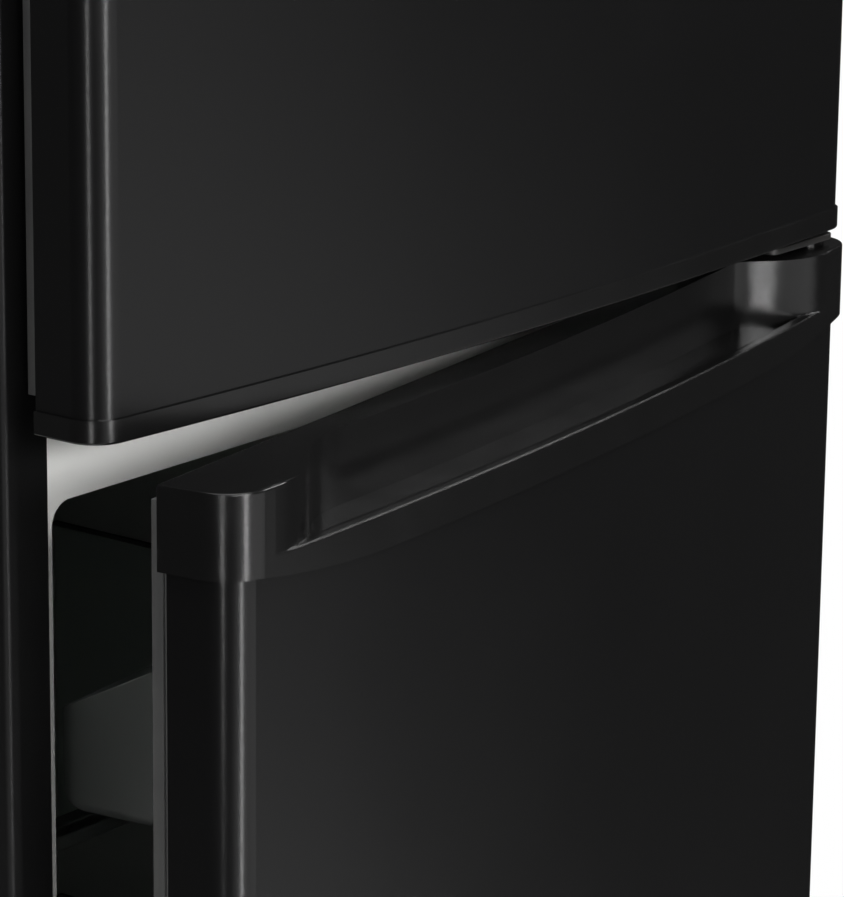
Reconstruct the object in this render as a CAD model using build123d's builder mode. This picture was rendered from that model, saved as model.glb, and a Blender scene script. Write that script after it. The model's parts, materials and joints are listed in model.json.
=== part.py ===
from build123d import *
from math import cos, radians, sin
import os

os.makedirs("parts", exist_ok=True)

# Top freezer refrigerator with two doors hinged on the right. Millimetres, +Z up, the front faces -Y.
# The lower door is stored ajar, as it stands in the photograph.

# Cabinet
cabinet_w = 545.0
cabinet_h = 1430.0
cabinet_d = 500.0
front_y = -200.0
base_z = 28.0
sheet = 0.8
flange_w = 25.0
shell_bend = 8.0
flange_bend = 3.0

# Doors
door_split_z = 985.0
door_gap = 7.7
door_low_z = 66.5
door_setback = 16.3
door_t = 32.0
door_bow = 11.8
door_corner = 14.0
door_ajar = 7.2
skin_return = 12.0
cap_proud = 1.2
cap_h = 10.0
cap_edge = 1.2
hinge_inset = 16.0
hinge_setback = 36.0

# Handle cap along the top of the lower door
handle_proud = 4.0
handle_back = 1.7
handle_h = 35.4
apron_drop = 8.2
apron_margin = 13.3
apron_run = 97.0
apron_clear = 0.1
scoop_left_margin = 23.3
scoop_left_run = 87.0
scoop_left_ease = 0.50
scoop_right_run = 51.0
scoop_right_in_ease = 0.30
scoop_right_out_ease = 0.70
scoop_right_margin = 32.3
scoop_d = 30.0
lip_drop = 28.1
lip_t = 5.0
trough_d = 4.5
handle_edge = 1.2

# Hinges
plate_t = 3.0
pin_r = 4.0
pin_l = 10.0
pin_clear = 0.08
collar_r = 9.0
slip_clear = 0.3
bore_spare = 1.0
hinge_reach = 12.0
hinge_arm_w = 46.0
tab_t = 2.5
tab_h = 24.0
tab_w = 64.0
screw_r = 2.5
screw_head_r = 4.5
screw_head_h = 2.0
cover_t = 2.0
cover_h = 15.0
cover_clear = 0.5

# Door liners, gaskets and bins
plate_liner_t = 2.0
liner_inset = 4.0
rib_w = 13.0
rib_d = 34.0
fridge_rib_gap = 16.2
freezer_rib_gap = 15.5
rib_margin = 45.0
gasket_inset = 12.0
gasket_w = 14.0
gasket_clear = 0.6
bin_t = 2.0
bin_corner = 18.0
bin_foot = 8.0
bin_slope_start = 20.0
bin_rail_drop = 32.0
upper_bin_drop = 170.0
upper_bin_h = 74.0
upper_bin_d = 96.0
middle_bin_drop = 450.0
middle_bin_h = 74.0
bottle_bin_rise = 40.0
bottle_bin_h = 120.0
bottle_bin_d = 74.0
freezer_bin_rise = 60.0
freezer_bin_h = 70.0
freezer_bin_d = 58.0

# Compartments
mullion_h = 56.5
mullion_t = 2.0
rim_h = 4.8
rim_t = 2.0
liner_t = 2.3
opening_corner = 10.5
fridge_floor = 95.0
fridge_rear_wall = 48.0
freezer_wall = 40.0
freezer_roof = 42.0
freezer_rear_wall = 62.0
step_d = 150.0
step_z = 245.0
step_foam = 38.0

# Shelves and crisper
shelf_t = 4.0
shelf_side_clear = 2.0
shelf_front = 104.0
upper_shelf_z = 745.0
lower_shelf_z = 520.0
ledge_w = 8.0
ledge_h = 6.0
trim_h = 14.0
trim_d = 8.0
crisper_cover_front = 96.0
crisper_front = 100.0
crisper_clear = 4.0
crisper_t = 2.5
crisper_h = 168.0
crisper_side = 14.0
crisper_lip = 20.0
freezer_shelf_z = 1190.0
freezer_shelf_front = 62.0

# Cold parts
evaporator_t = 1.2
evaporator_front = 60.0
cold_plate_w = 400.0
cold_plate_h = 330.0
cold_plate_t = 1.6
cold_plate_low = 570.0
drain_r = 8.0
drain_bore = 5.5
drain_back = 70.0

# Control housing with lamp, thermostat knob and door switch
control_w = 190.0
control_d = 120.0
control_h = 42.0
control_front = 104.0
control_t = 2.5
lamp_room_w = 84.0
lamp_r = 11.0
lamp_base_r = 7.0
lamp_base_l = 22.0
knob_r = 15.0
knob_h = 14.0
knob_shaft_r = 3.0
knob_shaft_l = 10.0
knob_x = 22.0
plunger_r = 4.0
plunger_l = 30.0
plunger_x = 70.0
plunger_clear = 0.08
plunger_arm_d = 86.0
plunger_arm_w = 16.0
plunger_arm_h = 28.0

# Compressor bay
tray_t = 2.0
tray_end_h = 24.0
tray_front_gap = 6.0
compressor_r = 60.0
compressor_h = 150.0
compressor_x = 95.0
compressor_dome = 26.0
compressor_foot_w = 150.0
compressor_foot_d = 104.0
compressor_foot_t = 3.0
grommet_r = 10.0
grommet_h = 12.0
grommet_inset = 13.0
relay_w = 26.0
relay_d = 56.0
relay_h = 60.0
relay_pad = 6.0
pan_w = 120.0
pan_d = 104.0
pan_h = 24.0
pan_t = 2.0
pipe_r = 3.0
stub_l = 14.0
stub_r = 4.0
drier_r = 9.0
drier_l = 90.0
drier_x = -120.0

# Condenser on the back
coil_r = 2.4
coil_passes = 14
coil_pitch = 72.0
coil_w = 420.0
coil_low = 345.0
coil_off = 16.0
wire_r = 0.8
wire_gap = 0.1
wire_count = 44
bar_h = 10.0
bar_t = 1.6
wire_over = 22.0
clip_w = 26.0
clip_h = 16.0

# Feet and rollers
foot_r = 20.0
foot_h = 10.0
foot_side = 40.5
foot_in = 48.0
stud_r = 5.0
stud_l = 40.0
insert_r = 9.0
insert_flange_r = 15.0
insert_flange_h = 3.0
insert_l = 34.0
stud_clear = 0.08
roller_r = 13.0
roller_w = 18.0
roller_side = 46.5
roller_back = 34.0
axle_r = 3.0
axle_clear = 0.08
cheek_t = 2.0
cheek_d = 18.0
roller_side_clear = 0.5

# Toe grille
grille_t = 10.0
grille_low = 32.0
grille_top_clear = 6.0
grille_hinge_gap = 8.0
grille_slots = 22
grille_slot_w = 6.0
grille_slot_margin = 7.0

# Places that follow from the sizes above
side_x = cabinet_w / 2
back_y = front_y + cabinet_d
rim_x = side_x - flange_w
rim_top = cabinet_h - flange_w
gap_mid = door_split_z - door_gap / 2
fridge_seam = gap_mid - mullion_h / 2
freezer_seam = gap_mid + mullion_h / 2
fridge_top = fridge_seam - rim_h
fridge_x = rim_x - liner_t
fridge_rear = back_y - fridge_rear_wall
freezer_floor = freezer_seam + rim_h
freezer_top = cabinet_h - freezer_roof
freezer_x = side_x - freezer_wall
freezer_rear = back_y - freezer_rear_wall
step_y = back_y - step_d
step_floor = step_z + step_foam
step_face = step_y - step_foam
skin_x = side_x - cap_proud
handle_x = skin_x + handle_proud
apron_end = handle_x - apron_margin
apron_flat = apron_end - apron_run
scoop_left_out = handle_x - scoop_left_margin
scoop_left_flat = scoop_left_out - scoop_left_run
scoop_right_out = handle_x - scoop_right_margin
scoop_right_flat = scoop_right_out - scoop_right_run
fridge_rib_x = fridge_x - fridge_rib_gap - rib_w
freezer_rib_x = freezer_x - freezer_rib_gap - rib_w
foot_x = side_x - foot_side
roller_x = side_x - roller_side
collar_h = (door_gap - plate_t) / 2 - slip_clear
handle_top = door_split_z - door_gap
handle_low = handle_top - handle_h
freezer_door_top = cabinet_h - collar_h - slip_clear
hinge_x = side_x - hinge_inset
hinge_y = front_y - hinge_setback
pin_bore = pin_r + pin_clear
bore_d = pin_l - slip_clear + bore_spare

face = Plane.XZ.offset(-front_y)
closed = Plane(origin=(0, front_y, 0))
turn_x = cos(radians(door_ajar))
turn_y = sin(radians(door_ajar))
ajar_x = hinge_x - hinge_x * turn_x - hinge_setback * turn_y
ajar_y = hinge_y - hinge_x * turn_y + hinge_setback * turn_x
ajar = Plane(origin=(ajar_x, ajar_y, 0), x_dir=(turn_x, turn_y, 0), z_dir=(0, 0, 1))
ajar_face = Plane(origin=(ajar_x, ajar_y, 0), x_dir=(turn_x, turn_y, 0), z_dir=(turn_y, -turn_x, 0))


def shell_form(inset):
    """The cabinet's outside drawn in by inset, with its bent edges; open to the back and the base."""
    with BuildPart() as form:
        with BuildSketch(face.offset(-inset)):
            with Locations((0, base_z)):
                Rectangle(
                    cabinet_w - 2 * inset, cabinet_h - inset - base_z, align=(Align.CENTER, Align.MIN)
                )
        extrude(amount=-(cabinet_d - inset))
        fillet(form.edges().filter_by(Axis.Y).group_by(Axis.Z)[-1], shell_bend - inset)
        fillet(form.faces().sort_by(Axis.Y)[0].edges().sort_by(Axis.Z)[1:], flange_bend - inset)
    return form.part


def fridge_form(grow):
    """The food compartment's hollow, grown outwards by grow, with the step over the compressor."""
    with BuildPart() as form:
        with BuildSketch(face):
            with Locations((0, (fridge_floor + fridge_top) / 2)):
                RectangleRounded(
                    2 * (fridge_x + grow), fridge_top - fridge_floor + 2 * grow, opening_corner + grow
                )
        extrude(amount=-(fridge_rear - front_y + grow))
        with Locations((0, step_face + grow, fridge_floor - grow)):
            Box(
                cabinet_w,
                cabinet_d,
                step_floor - fridge_floor,
                align=(Align.CENTER, Align.MIN, Align.MIN),
                mode=Mode.SUBTRACT,
            )
    return form.part


def freezer_form(grow):
    """The freezer compartment's hollow, grown outwards by grow."""
    with BuildPart() as form:
        with BuildSketch(face):
            with Locations((0, (freezer_floor + freezer_top) / 2)):
                RectangleRounded(
                    2 * (freezer_x + grow), freezer_top - freezer_floor + 2 * grow, opening_corner + grow
                )
        extrude(amount=-(freezer_rear - front_y + grow))
    return form.part


def rim_form(low, high):
    """A flat rim plate between the front flanges, from low to high."""
    with BuildPart() as form:
        with BuildSketch(face):
            with Locations((0, low)):
                Rectangle(2 * rim_x, high - low, align=(Align.CENTER, Align.MIN))
        extrude(amount=-rim_t)
    return form.part


def door_plan(proud, back):
    """A door's plan grown outwards by proud: flat back, bowed front, rounded front corners."""
    half = skin_x + proud
    edge = -door_setback - door_t - proud
    with BuildSketch() as plan:
        with BuildLine():
            Polyline((half, edge), (half, -back), (-half, -back), (-half, edge))
            ThreePointArc((-half, edge), (0, edge - door_bow), (half, edge))
        make_face()
        fillet(plan.vertices().group_by(Axis.Y)[0], door_corner + proud)
    return plan.sketch


def handle_front(x):
    """How far forward the handle cap's bowed front stands at x."""
    return -door_setback - door_t - handle_proud - door_bow * (1 - (x / handle_x) ** 2)


def handle_slope(x):
    """How steeply the handle cap's bowed front falls back at x."""
    return 2 * door_bow * x / handle_x**2


def scoop_plan():
    """Plan of the finger scoop: open at the front, with S-shaped ends that run out along the bow."""
    left_y = handle_front(scoop_left_out)
    right_y = handle_front(scoop_right_out)
    left_rear = handle_front(scoop_left_flat) + scoop_d
    right_rear = handle_front(scoop_right_flat) + scoop_d
    middle_rear = handle_front(0) + scoop_d
    clear_y = handle_front(0) - scoop_d
    left_ease = scoop_left_ease * scoop_left_run
    right_in_ease = scoop_right_in_ease * scoop_right_run
    right_out_ease = scoop_right_out_ease * scoop_right_run
    with BuildSketch() as plan:
        with BuildLine():
            Bezier(
                (-scoop_left_out, left_y),
                (left_ease - scoop_left_out, left_y - left_ease * handle_slope(scoop_left_out)),
                (-left_ease - scoop_left_flat, left_rear + left_ease * handle_slope(scoop_left_flat)),
                (-scoop_left_flat, left_rear),
            )
            ThreePointArc((-scoop_left_flat, left_rear), (0, middle_rear), (scoop_right_flat, right_rear))
            Bezier(
                (scoop_right_flat, right_rear),
                (
                    scoop_right_flat + right_in_ease,
                    right_rear + right_in_ease * handle_slope(scoop_right_flat),
                ),
                (
                    scoop_right_out - right_out_ease,
                    right_y - right_out_ease * handle_slope(scoop_right_out),
                ),
                (scoop_right_out, right_y),
            )
            Polyline(
                (scoop_right_out, right_y),
                (scoop_right_out, clear_y),
                (-scoop_left_out, clear_y),
                (-scoop_left_out, left_y),
            )
        make_face()
    return plan.sketch


# Painted steel wrap: two sides and a top, with a front flange turned in all round
with BuildPart() as cabinet_shell:
    add(shell_form(0))
    add(shell_form(sheet), mode=Mode.SUBTRACT)
    with BuildSketch(face):
        with Locations((0, base_z)):
            Rectangle(2 * rim_x, rim_top - base_z, align=(Align.CENTER, Align.MIN))
    extrude(amount=-flange_bend, mode=Mode.SUBTRACT)
cabinet_shell.part.label = "cabinet_shell"
export_step(cabinet_shell.part, "parts/cabinet_shell.step")

# Flat steel back above the compressor bay
with BuildPart() as back_panel:
    add(shell_form(sheet))
    with Locations((0, back_y, step_z)):
        Box(
            cabinet_w,
            sheet,
            cabinet_h,
            align=(Align.CENTER, Align.MAX, Align.MIN),
            mode=Mode.INTERSECT,
        )
back_panel.part.label = "back_panel"
export_step(back_panel.part, "parts/back_panel.step")

# Bent steel base: front upstand, floor, and the step that makes room for the compressor
with BuildPart() as base_panel:
    with BuildSketch(Plane.YZ):
        with BuildLine():
            Polyline(
                (front_y, fridge_floor - rim_h),
                (front_y, base_z),
                (step_y, base_z),
                (step_y, step_z),
                (back_y - sheet, step_z),
                (back_y - sheet, step_z + sheet),
                (step_y - sheet, step_z + sheet),
                (step_y - sheet, base_z + sheet),
                (front_y + sheet, base_z + sheet),
                (front_y + sheet, fridge_floor - rim_h),
                close=True,
            )
        make_face()
    extrude(amount=side_x - sheet, both=True)
    for side in (-1, 1):
        with Locations((side * (rim_x + flange_w / 2), front_y, base_z)):
            Box(
                flange_w,
                2 * flange_bend,
                fridge_floor,
                align=(Align.CENTER, Align.CENTER, Align.MIN),
                mode=Mode.SUBTRACT,
            )
        with Locations((side * foot_x, front_y + foot_in, base_z)):
            Cylinder(insert_r, 4 * sheet, mode=Mode.SUBTRACT)
    with Locations((compressor_x, back_y - drain_back, step_z)):
        Cylinder(drain_r, 4 * sheet, mode=Mode.SUBTRACT)
base_panel.part.label = "base_panel"
export_step(base_panel.part, "parts/base_panel.step")

# White plastic strip over the wall between the two compartments
with BuildPart() as mullion_cover:
    with BuildSketch(face):
        with Locations((0, fridge_seam)):
            Rectangle(2 * rim_x, mullion_h, align=(Align.CENTER, Align.MIN))
    extrude(amount=-mullion_t)
mullion_cover.part.label = "mullion_cover"
export_step(mullion_cover.part, "parts/mullion_cover.step")

# Formed white liner of the food compartment, with shelf ledges along both walls
with BuildPart() as fridge_liner:
    add(fridge_form(liner_t))
    add(rim_form(fridge_floor - rim_h, fridge_seam))
    add(fridge_form(0), mode=Mode.SUBTRACT)
    ledge_y = front_y + shelf_front + trim_d
    for ledge_top, ledge_end in (
        (upper_shelf_z, fridge_rear),
        (lower_shelf_z, fridge_rear),
        (step_floor, step_face),
    ):
        with Locations((0, ledge_y, ledge_top)):
            with GridLocations(2 * fridge_x - ledge_w, 1, 2, 1):
                Box(
                    ledge_w,
                    ledge_end - ledge_y,
                    ledge_h,
                    align=(Align.CENTER, Align.MIN, Align.MAX),
                )
    with Locations((compressor_x, back_y - drain_back, step_floor)):
        Cylinder(drain_bore, 4 * liner_t, mode=Mode.SUBTRACT)
fridge_liner.part.label = "fridge_liner"
export_step(fridge_liner.part, "parts/fridge_liner.step")

# Formed white liner of the freezer compartment, with one pair of shelf ledges
with BuildPart() as freezer_liner:
    add(freezer_form(liner_t))
    add(rim_form(freezer_seam, rim_top))
    add(freezer_form(0), mode=Mode.SUBTRACT)
    with Locations((0, front_y + freezer_shelf_front, freezer_shelf_z)):
        with GridLocations(2 * freezer_x - ledge_w, 1, 2, 1):
            Box(
                ledge_w,
                freezer_rear - front_y - freezer_shelf_front,
                ledge_h,
                align=(Align.CENTER, Align.MIN, Align.MAX),
            )
freezer_liner.part.label = "freezer_liner"
export_step(freezer_liner.part, "parts/freezer_liner.step")

# Aluminium evaporator wrapped round the freezer liner, in the foam
with BuildPart() as freezer_evaporator:
    with BuildSketch(face.offset(-evaporator_front)):
        with Locations((0, (freezer_floor + freezer_top) / 2)):
            RectangleRounded(
                2 * (freezer_x + liner_t + evaporator_t),
                freezer_top - freezer_floor + 2 * (liner_t + evaporator_t),
                opening_corner + liner_t + evaporator_t,
            )
            RectangleRounded(
                2 * (freezer_x + liner_t),
                freezer_top - freezer_floor + 2 * liner_t,
                opening_corner + liner_t,
                mode=Mode.SUBTRACT,
            )
    extrude(amount=-(freezer_rear - front_y - 2 * evaporator_front))
freezer_evaporator.part.label = "freezer_evaporator"
export_step(freezer_evaporator.part, "parts/freezer_evaporator.step")

# Plastic drain tube from the food compartment to the pan on the compressor
drain_low = step_z - sheet
with BuildPart() as drain_tube:
    with BuildSketch(Plane.XY.offset(drain_low)):
        with Locations((compressor_x, back_y - drain_back)):
            Circle(drain_r)
            Circle(drain_bore, mode=Mode.SUBTRACT)
    extrude(amount=step_floor - liner_t - drain_low)
drain_tube.part.label = "drain_tube"
export_step(drain_tube.part, "parts/drain_tube.step")

# Foamed insulation that fills the walls
with BuildPart() as insulation_foam:
    add(shell_form(sheet))
    with Locations((0, back_y - sheet, base_z)):
        Box(cabinet_w, cabinet_d, cabinet_h, align=(Align.CENTER, Align.MIN, Align.MIN), mode=Mode.SUBTRACT)
    with Locations((0, 0, base_z)):
        Box(cabinet_w, 2 * cabinet_d, 2 * sheet, mode=Mode.SUBTRACT)
    with Locations((0, step_y - sheet, base_z)):
        Box(
            cabinet_w,
            cabinet_d,
            step_z + sheet - base_z,
            align=(Align.CENTER, Align.MIN, Align.MIN),
            mode=Mode.SUBTRACT,
        )
    add(fridge_form(liner_t), mode=Mode.SUBTRACT)
    add(freezer_form(liner_t), mode=Mode.SUBTRACT)
    add(rim_form(fridge_floor - rim_h, fridge_seam), mode=Mode.SUBTRACT)
    add(rim_form(freezer_seam, rim_top), mode=Mode.SUBTRACT)
    add(mullion_cover.part, mode=Mode.SUBTRACT)
    add(freezer_evaporator.part, mode=Mode.SUBTRACT)
    with Locations((compressor_x, back_y - drain_back, step_z)):
        Cylinder(drain_r, 2 * step_foam, mode=Mode.SUBTRACT)
    for side in (-1, 1):
        with Locations((side * foot_x, front_y + foot_in, base_z)):
            Cylinder(
                insert_r, insert_l, align=(Align.CENTER, Align.CENTER, Align.MIN), mode=Mode.SUBTRACT
            )
insulation_foam.part.label = "insulation_foam"
export_step(insulation_foam.part, "parts/insulation_foam.step")

# Roll-formed cold plate on the back wall of the food compartment
with BuildPart() as fridge_cold_plate:
    with BuildSketch(Plane.XZ.offset(-fridge_rear)):
        with Locations((0, cold_plate_low)):
            RectangleRounded(
                cold_plate_w, cold_plate_h, opening_corner, align=(Align.CENTER, Align.MIN)
            )
    extrude(amount=cold_plate_t)
fridge_cold_plate.part.label = "fridge_cold_plate"
export_step(fridge_cold_plate.part, "parts/fridge_cold_plate.step")

# Tempered glass shelves on the ledges
shelf_w = 2 * (fridge_x - shelf_side_clear)
shelf_rear = fridge_rear - cold_plate_t - shelf_side_clear
for shelf_name, shelf_low, shelf_start in (
    ("upper_shelf", upper_shelf_z, shelf_front + trim_d),
    ("lower_shelf", lower_shelf_z, shelf_front + trim_d),
    ("crisper_cover", step_floor, crisper_cover_front),
):
    with BuildPart() as shelf:
        with Locations((0, front_y + shelf_start, shelf_low)):
            Box(
                shelf_w,
                shelf_rear - front_y - shelf_start,
                shelf_t,
                align=(Align.CENTER, Align.MIN, Align.MIN),
            )
    shelf.part.label = shelf_name
    export_step(shelf.part, f"parts/{shelf_name}.step")

# Plastic front trims pushed onto the two full shelves
with BuildPart() as shelf_trims:
    for trim_z in (upper_shelf_z, lower_shelf_z):
        with Locations((0, front_y + shelf_front, trim_z + shelf_t / 2)):
            Box(shelf_w, trim_d, trim_h, align=(Align.CENTER, Align.MIN, Align.CENTER))
    fillet(shelf_trims.edges().filter_by(Axis.X), trim_d / 4)
shelf_trims.part.label = "shelf_trims"
export_step(shelf_trims.part, "parts/shelf_trims.step")

# Clear vegetable drawer, open at the top, with a finger lip along its front
crisper_w = 2 * (fridge_x - crisper_side)
crisper_rear = step_face - crisper_clear
with BuildPart() as crisper_drawer:
    with Locations((0, front_y + crisper_front, fridge_floor + slip_clear)):
        Box(
            crisper_w,
            crisper_rear - front_y - crisper_front,
            crisper_h,
            align=(Align.CENTER, Align.MIN, Align.MIN),
        )
    fillet(crisper_drawer.edges().filter_by(Axis.Z), opening_corner)
    fillet(crisper_drawer.faces().sort_by(Axis.Z)[0].edges(), bin_foot)
    offset(amount=-crisper_t, openings=crisper_drawer.faces().sort_by(Axis.Z)[-1])
    with Locations((0, front_y + crisper_front, fridge_floor + slip_clear + crisper_h)):
        Box(
            crisper_w - 4 * opening_corner,
            crisper_lip / 2,
            crisper_t,
            align=(Align.CENTER, Align.MAX, Align.MAX),
        )
crisper_drawer.part.label = "crisper_drawer"
export_step(crisper_drawer.part, "parts/crisper_drawer.step")

# Plastic shelf across the freezer
with BuildPart() as freezer_shelf:
    with Locations((0, front_y + freezer_shelf_front, freezer_shelf_z)):
        Box(
            2 * (freezer_x - shelf_side_clear),
            freezer_rear - front_y - freezer_shelf_front - shelf_side_clear,
            shelf_t,
            align=(Align.CENTER, Align.MIN, Align.MIN),
        )
freezer_shelf.part.label = "freezer_shelf"
export_step(freezer_shelf.part, "parts/freezer_shelf.step")

# Control housing on the ceiling: lamp room on the left, knob in the middle, switch arm on the right
control_y = front_y + control_front
control_low = fridge_top - control_h
lamp_x = -control_w / 2 + control_t + lamp_room_w / 2
knob_z = control_low + control_h / 2
plunger_z = fridge_top - plunger_arm_h + plunger_arm_w / 2
with BuildPart() as control_housing:
    with Locations((0, control_y, fridge_top)):
        Box(control_w, control_d, control_h, align=(Align.CENTER, Align.MIN, Align.MAX))
    fillet(control_housing.edges().filter_by(Axis.Z), control_t)
    with Locations((plunger_x, control_y, fridge_top)):
        Box(plunger_arm_w, plunger_arm_d, plunger_arm_h, align=(Align.CENTER, Align.MAX, Align.MAX))
    with Locations((lamp_x, control_y + control_d / 2, control_low)):
        Box(
            lamp_room_w,
            control_d - 2 * control_t,
            control_h - control_t,
            align=(Align.CENTER, Align.CENTER, Align.MIN),
            mode=Mode.SUBTRACT,
        )
    with BuildSketch(Plane.XZ.offset(-control_y)):
        with Locations((knob_x, knob_z)):
            Circle(knob_shaft_r + pin_clear)
    extrude(amount=-(knob_shaft_l + control_t), mode=Mode.SUBTRACT)
    with BuildSketch(Plane.XZ.offset(plunger_arm_d - control_y)):
        with Locations((plunger_x, plunger_z)):
            Circle(plunger_r + plunger_clear)
    extrude(amount=-(plunger_l + control_t), mode=Mode.SUBTRACT)
control_housing.part.label = "control_housing"
export_step(control_housing.part, "parts/control_housing.step")

# Small lamp lying in its room, its base against the dividing wall
lamp_z = control_low + control_h / 2
lamp_socket_x = lamp_x + lamp_room_w / 2
with BuildPart() as lamp:
    with BuildSketch(Plane.YZ.offset(lamp_socket_x)):
        with Locations((control_y + control_d / 2, lamp_z)):
            Circle(lamp_base_r)
    extrude(amount=-lamp_base_l)
    with Locations((lamp_socket_x - lamp_base_l - lamp_r, control_y + control_d / 2, lamp_z)):
        Sphere(lamp_r)
    with BuildSketch(Plane.YZ.offset(lamp_socket_x - lamp_base_l)):
        with Locations((control_y + control_d / 2, lamp_z)):
            Circle(lamp_base_r)
    extrude(amount=-lamp_r)
lamp.part.label = "lamp"
export_step(lamp.part, "parts/lamp.step")

# Frosted cover that closes the lamp room from below
with BuildPart() as lamp_cover:
    with Locations((lamp_x, control_y + control_d / 2, control_low)):
        Box(
            lamp_room_w - slip_clear,
            control_d - 2 * control_t - slip_clear,
            control_t,
            align=(Align.CENTER, Align.CENTER, Align.MIN),
        )
lamp_cover.part.label = "lamp_cover"
export_step(lamp_cover.part, "parts/lamp_cover.step")

# Thermostat knob with its shaft and a grip bar across the face
with BuildPart() as thermostat_knob:
    with BuildSketch(Plane.XZ.offset(slip_clear - control_y)):
        with Locations((knob_x, knob_z)):
            Circle(knob_r)
    extrude(amount=knob_h / 2)
    with BuildSketch(Plane.XZ.offset(slip_clear + knob_h / 2 - control_y)):
        with Locations((knob_x, knob_z)):
            SlotOverall(2 * knob_r - 2 * slip_clear, knob_r / 2, rotation=90)
    extrude(amount=knob_h / 2)
    with BuildSketch(Plane.XZ.offset(slip_clear - control_y)):
        with Locations((knob_x, knob_z)):
            Circle(knob_shaft_r)
    extrude(amount=-(knob_shaft_l + slip_clear))
thermostat_knob.part.label = "thermostat_knob"
export_step(thermostat_knob.part, "parts/thermostat_knob.step")

# Sprung plunger of the door switch, standing forward of the cabinet front
plunger_tip = control_y - plunger_arm_d - plunger_l / 2
with BuildPart() as switch_plunger:
    with BuildSketch(Plane.XZ.offset(-plunger_tip)):
        with Locations((plunger_x, plunger_z)):
            Circle(plunger_r)
    extrude(amount=-plunger_l)
    fillet(switch_plunger.faces().sort_by(Axis.Y)[0].edges(), plunger_r / 4)
switch_plunger.part.label = "switch_plunger"
export_step(switch_plunger.part, "parts/switch_plunger.step")

# Steel hinge plates with their pins: top, middle and bottom on one axis
arm_back = hinge_setback + hinge_reach
plate_left = hinge_x - hinge_arm_w
plate_right = hinge_x + pin_r + plate_t
with BuildPart() as top_hinge:
    with Locations((plate_right, front_y - arm_back, cabinet_h)):
        Box(
            plate_right - plate_left,
            arm_back + hinge_arm_w,
            plate_t,
            align=(Align.MAX, Align.MIN, Align.MIN),
        )
    fillet(top_hinge.edges().filter_by(Axis.Z), pin_r)
    with Locations((hinge_x, hinge_y, cabinet_h)):
        Cylinder(pin_r, pin_l, align=(Align.CENTER, Align.CENTER, Align.MAX))
    with Locations((hinge_x - hinge_arm_w / 2, front_y + hinge_arm_w / 2, cabinet_h)):
        with GridLocations(1, hinge_arm_w / 2, 1, 2):
            Cylinder(screw_r, 4 * plate_t, mode=Mode.SUBTRACT)
top_hinge.part.label = "top_hinge"
export_step(top_hinge.part, "parts/top_hinge.step")

middle_low = gap_mid - plate_t / 2
with BuildPart() as middle_hinge:
    with Locations((plate_right, front_y, gap_mid)):
        Box(
            plate_right - plate_left,
            arm_back,
            plate_t,
            align=(Align.MAX, Align.MAX, Align.CENTER),
        )
    fillet(middle_hinge.edges().filter_by(Axis.Z).group_by(Axis.Y)[0], pin_r)
    with Locations((plate_right, front_y, gap_mid)):
        Box(tab_w, tab_t, tab_h, align=(Align.MAX, Align.MAX, Align.CENTER))
    with Locations((hinge_x, hinge_y, gap_mid)):
        Cylinder(pin_r, 2 * pin_l + plate_t)
    with BuildSketch(face.offset(tab_t)):
        with Locations((plate_right - tab_w / 2, gap_mid)):
            with GridLocations(tab_w - 4 * screw_r, tab_h - 4 * screw_r, 2, 2):
                Circle(screw_r)
    extrude(amount=-2 * tab_t, mode=Mode.SUBTRACT)
middle_hinge.part.label = "middle_hinge"
export_step(middle_hinge.part, "parts/middle_hinge.step")

bottom_top = door_low_z - collar_h - slip_clear
bottom_tab_low = base_z + flange_bend
with BuildPart() as bottom_hinge:
    with Locations((plate_right, front_y, bottom_top)):
        Box(
            plate_right - plate_left,
            arm_back,
            plate_t,
            align=(Align.MAX, Align.MAX, Align.MAX),
        )
    fillet(bottom_hinge.edges().filter_by(Axis.Z).group_by(Axis.Y)[0], pin_r)
    with Locations((plate_right, front_y, bottom_top)):
        Box(tab_w, tab_t, bottom_top - bottom_tab_low, align=(Align.MAX, Align.MAX, Align.MAX))
    with Locations((hinge_x, hinge_y, bottom_top)):
        Cylinder(pin_r, pin_l, align=(Align.CENTER, Align.CENTER, Align.MIN))
    with BuildSketch(face.offset(tab_t)):
        with Locations((plate_right - tab_w / 2, (bottom_top - plate_t + bottom_tab_low) / 2)):
            with GridLocations(tab_w - 4 * screw_r, 1, 2, 1):
                Circle(screw_r)
    extrude(amount=-2 * tab_t, mode=Mode.SUBTRACT)
bottom_hinge.part.label = "bottom_hinge"
export_step(bottom_hinge.part, "parts/bottom_hinge.step")

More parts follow.
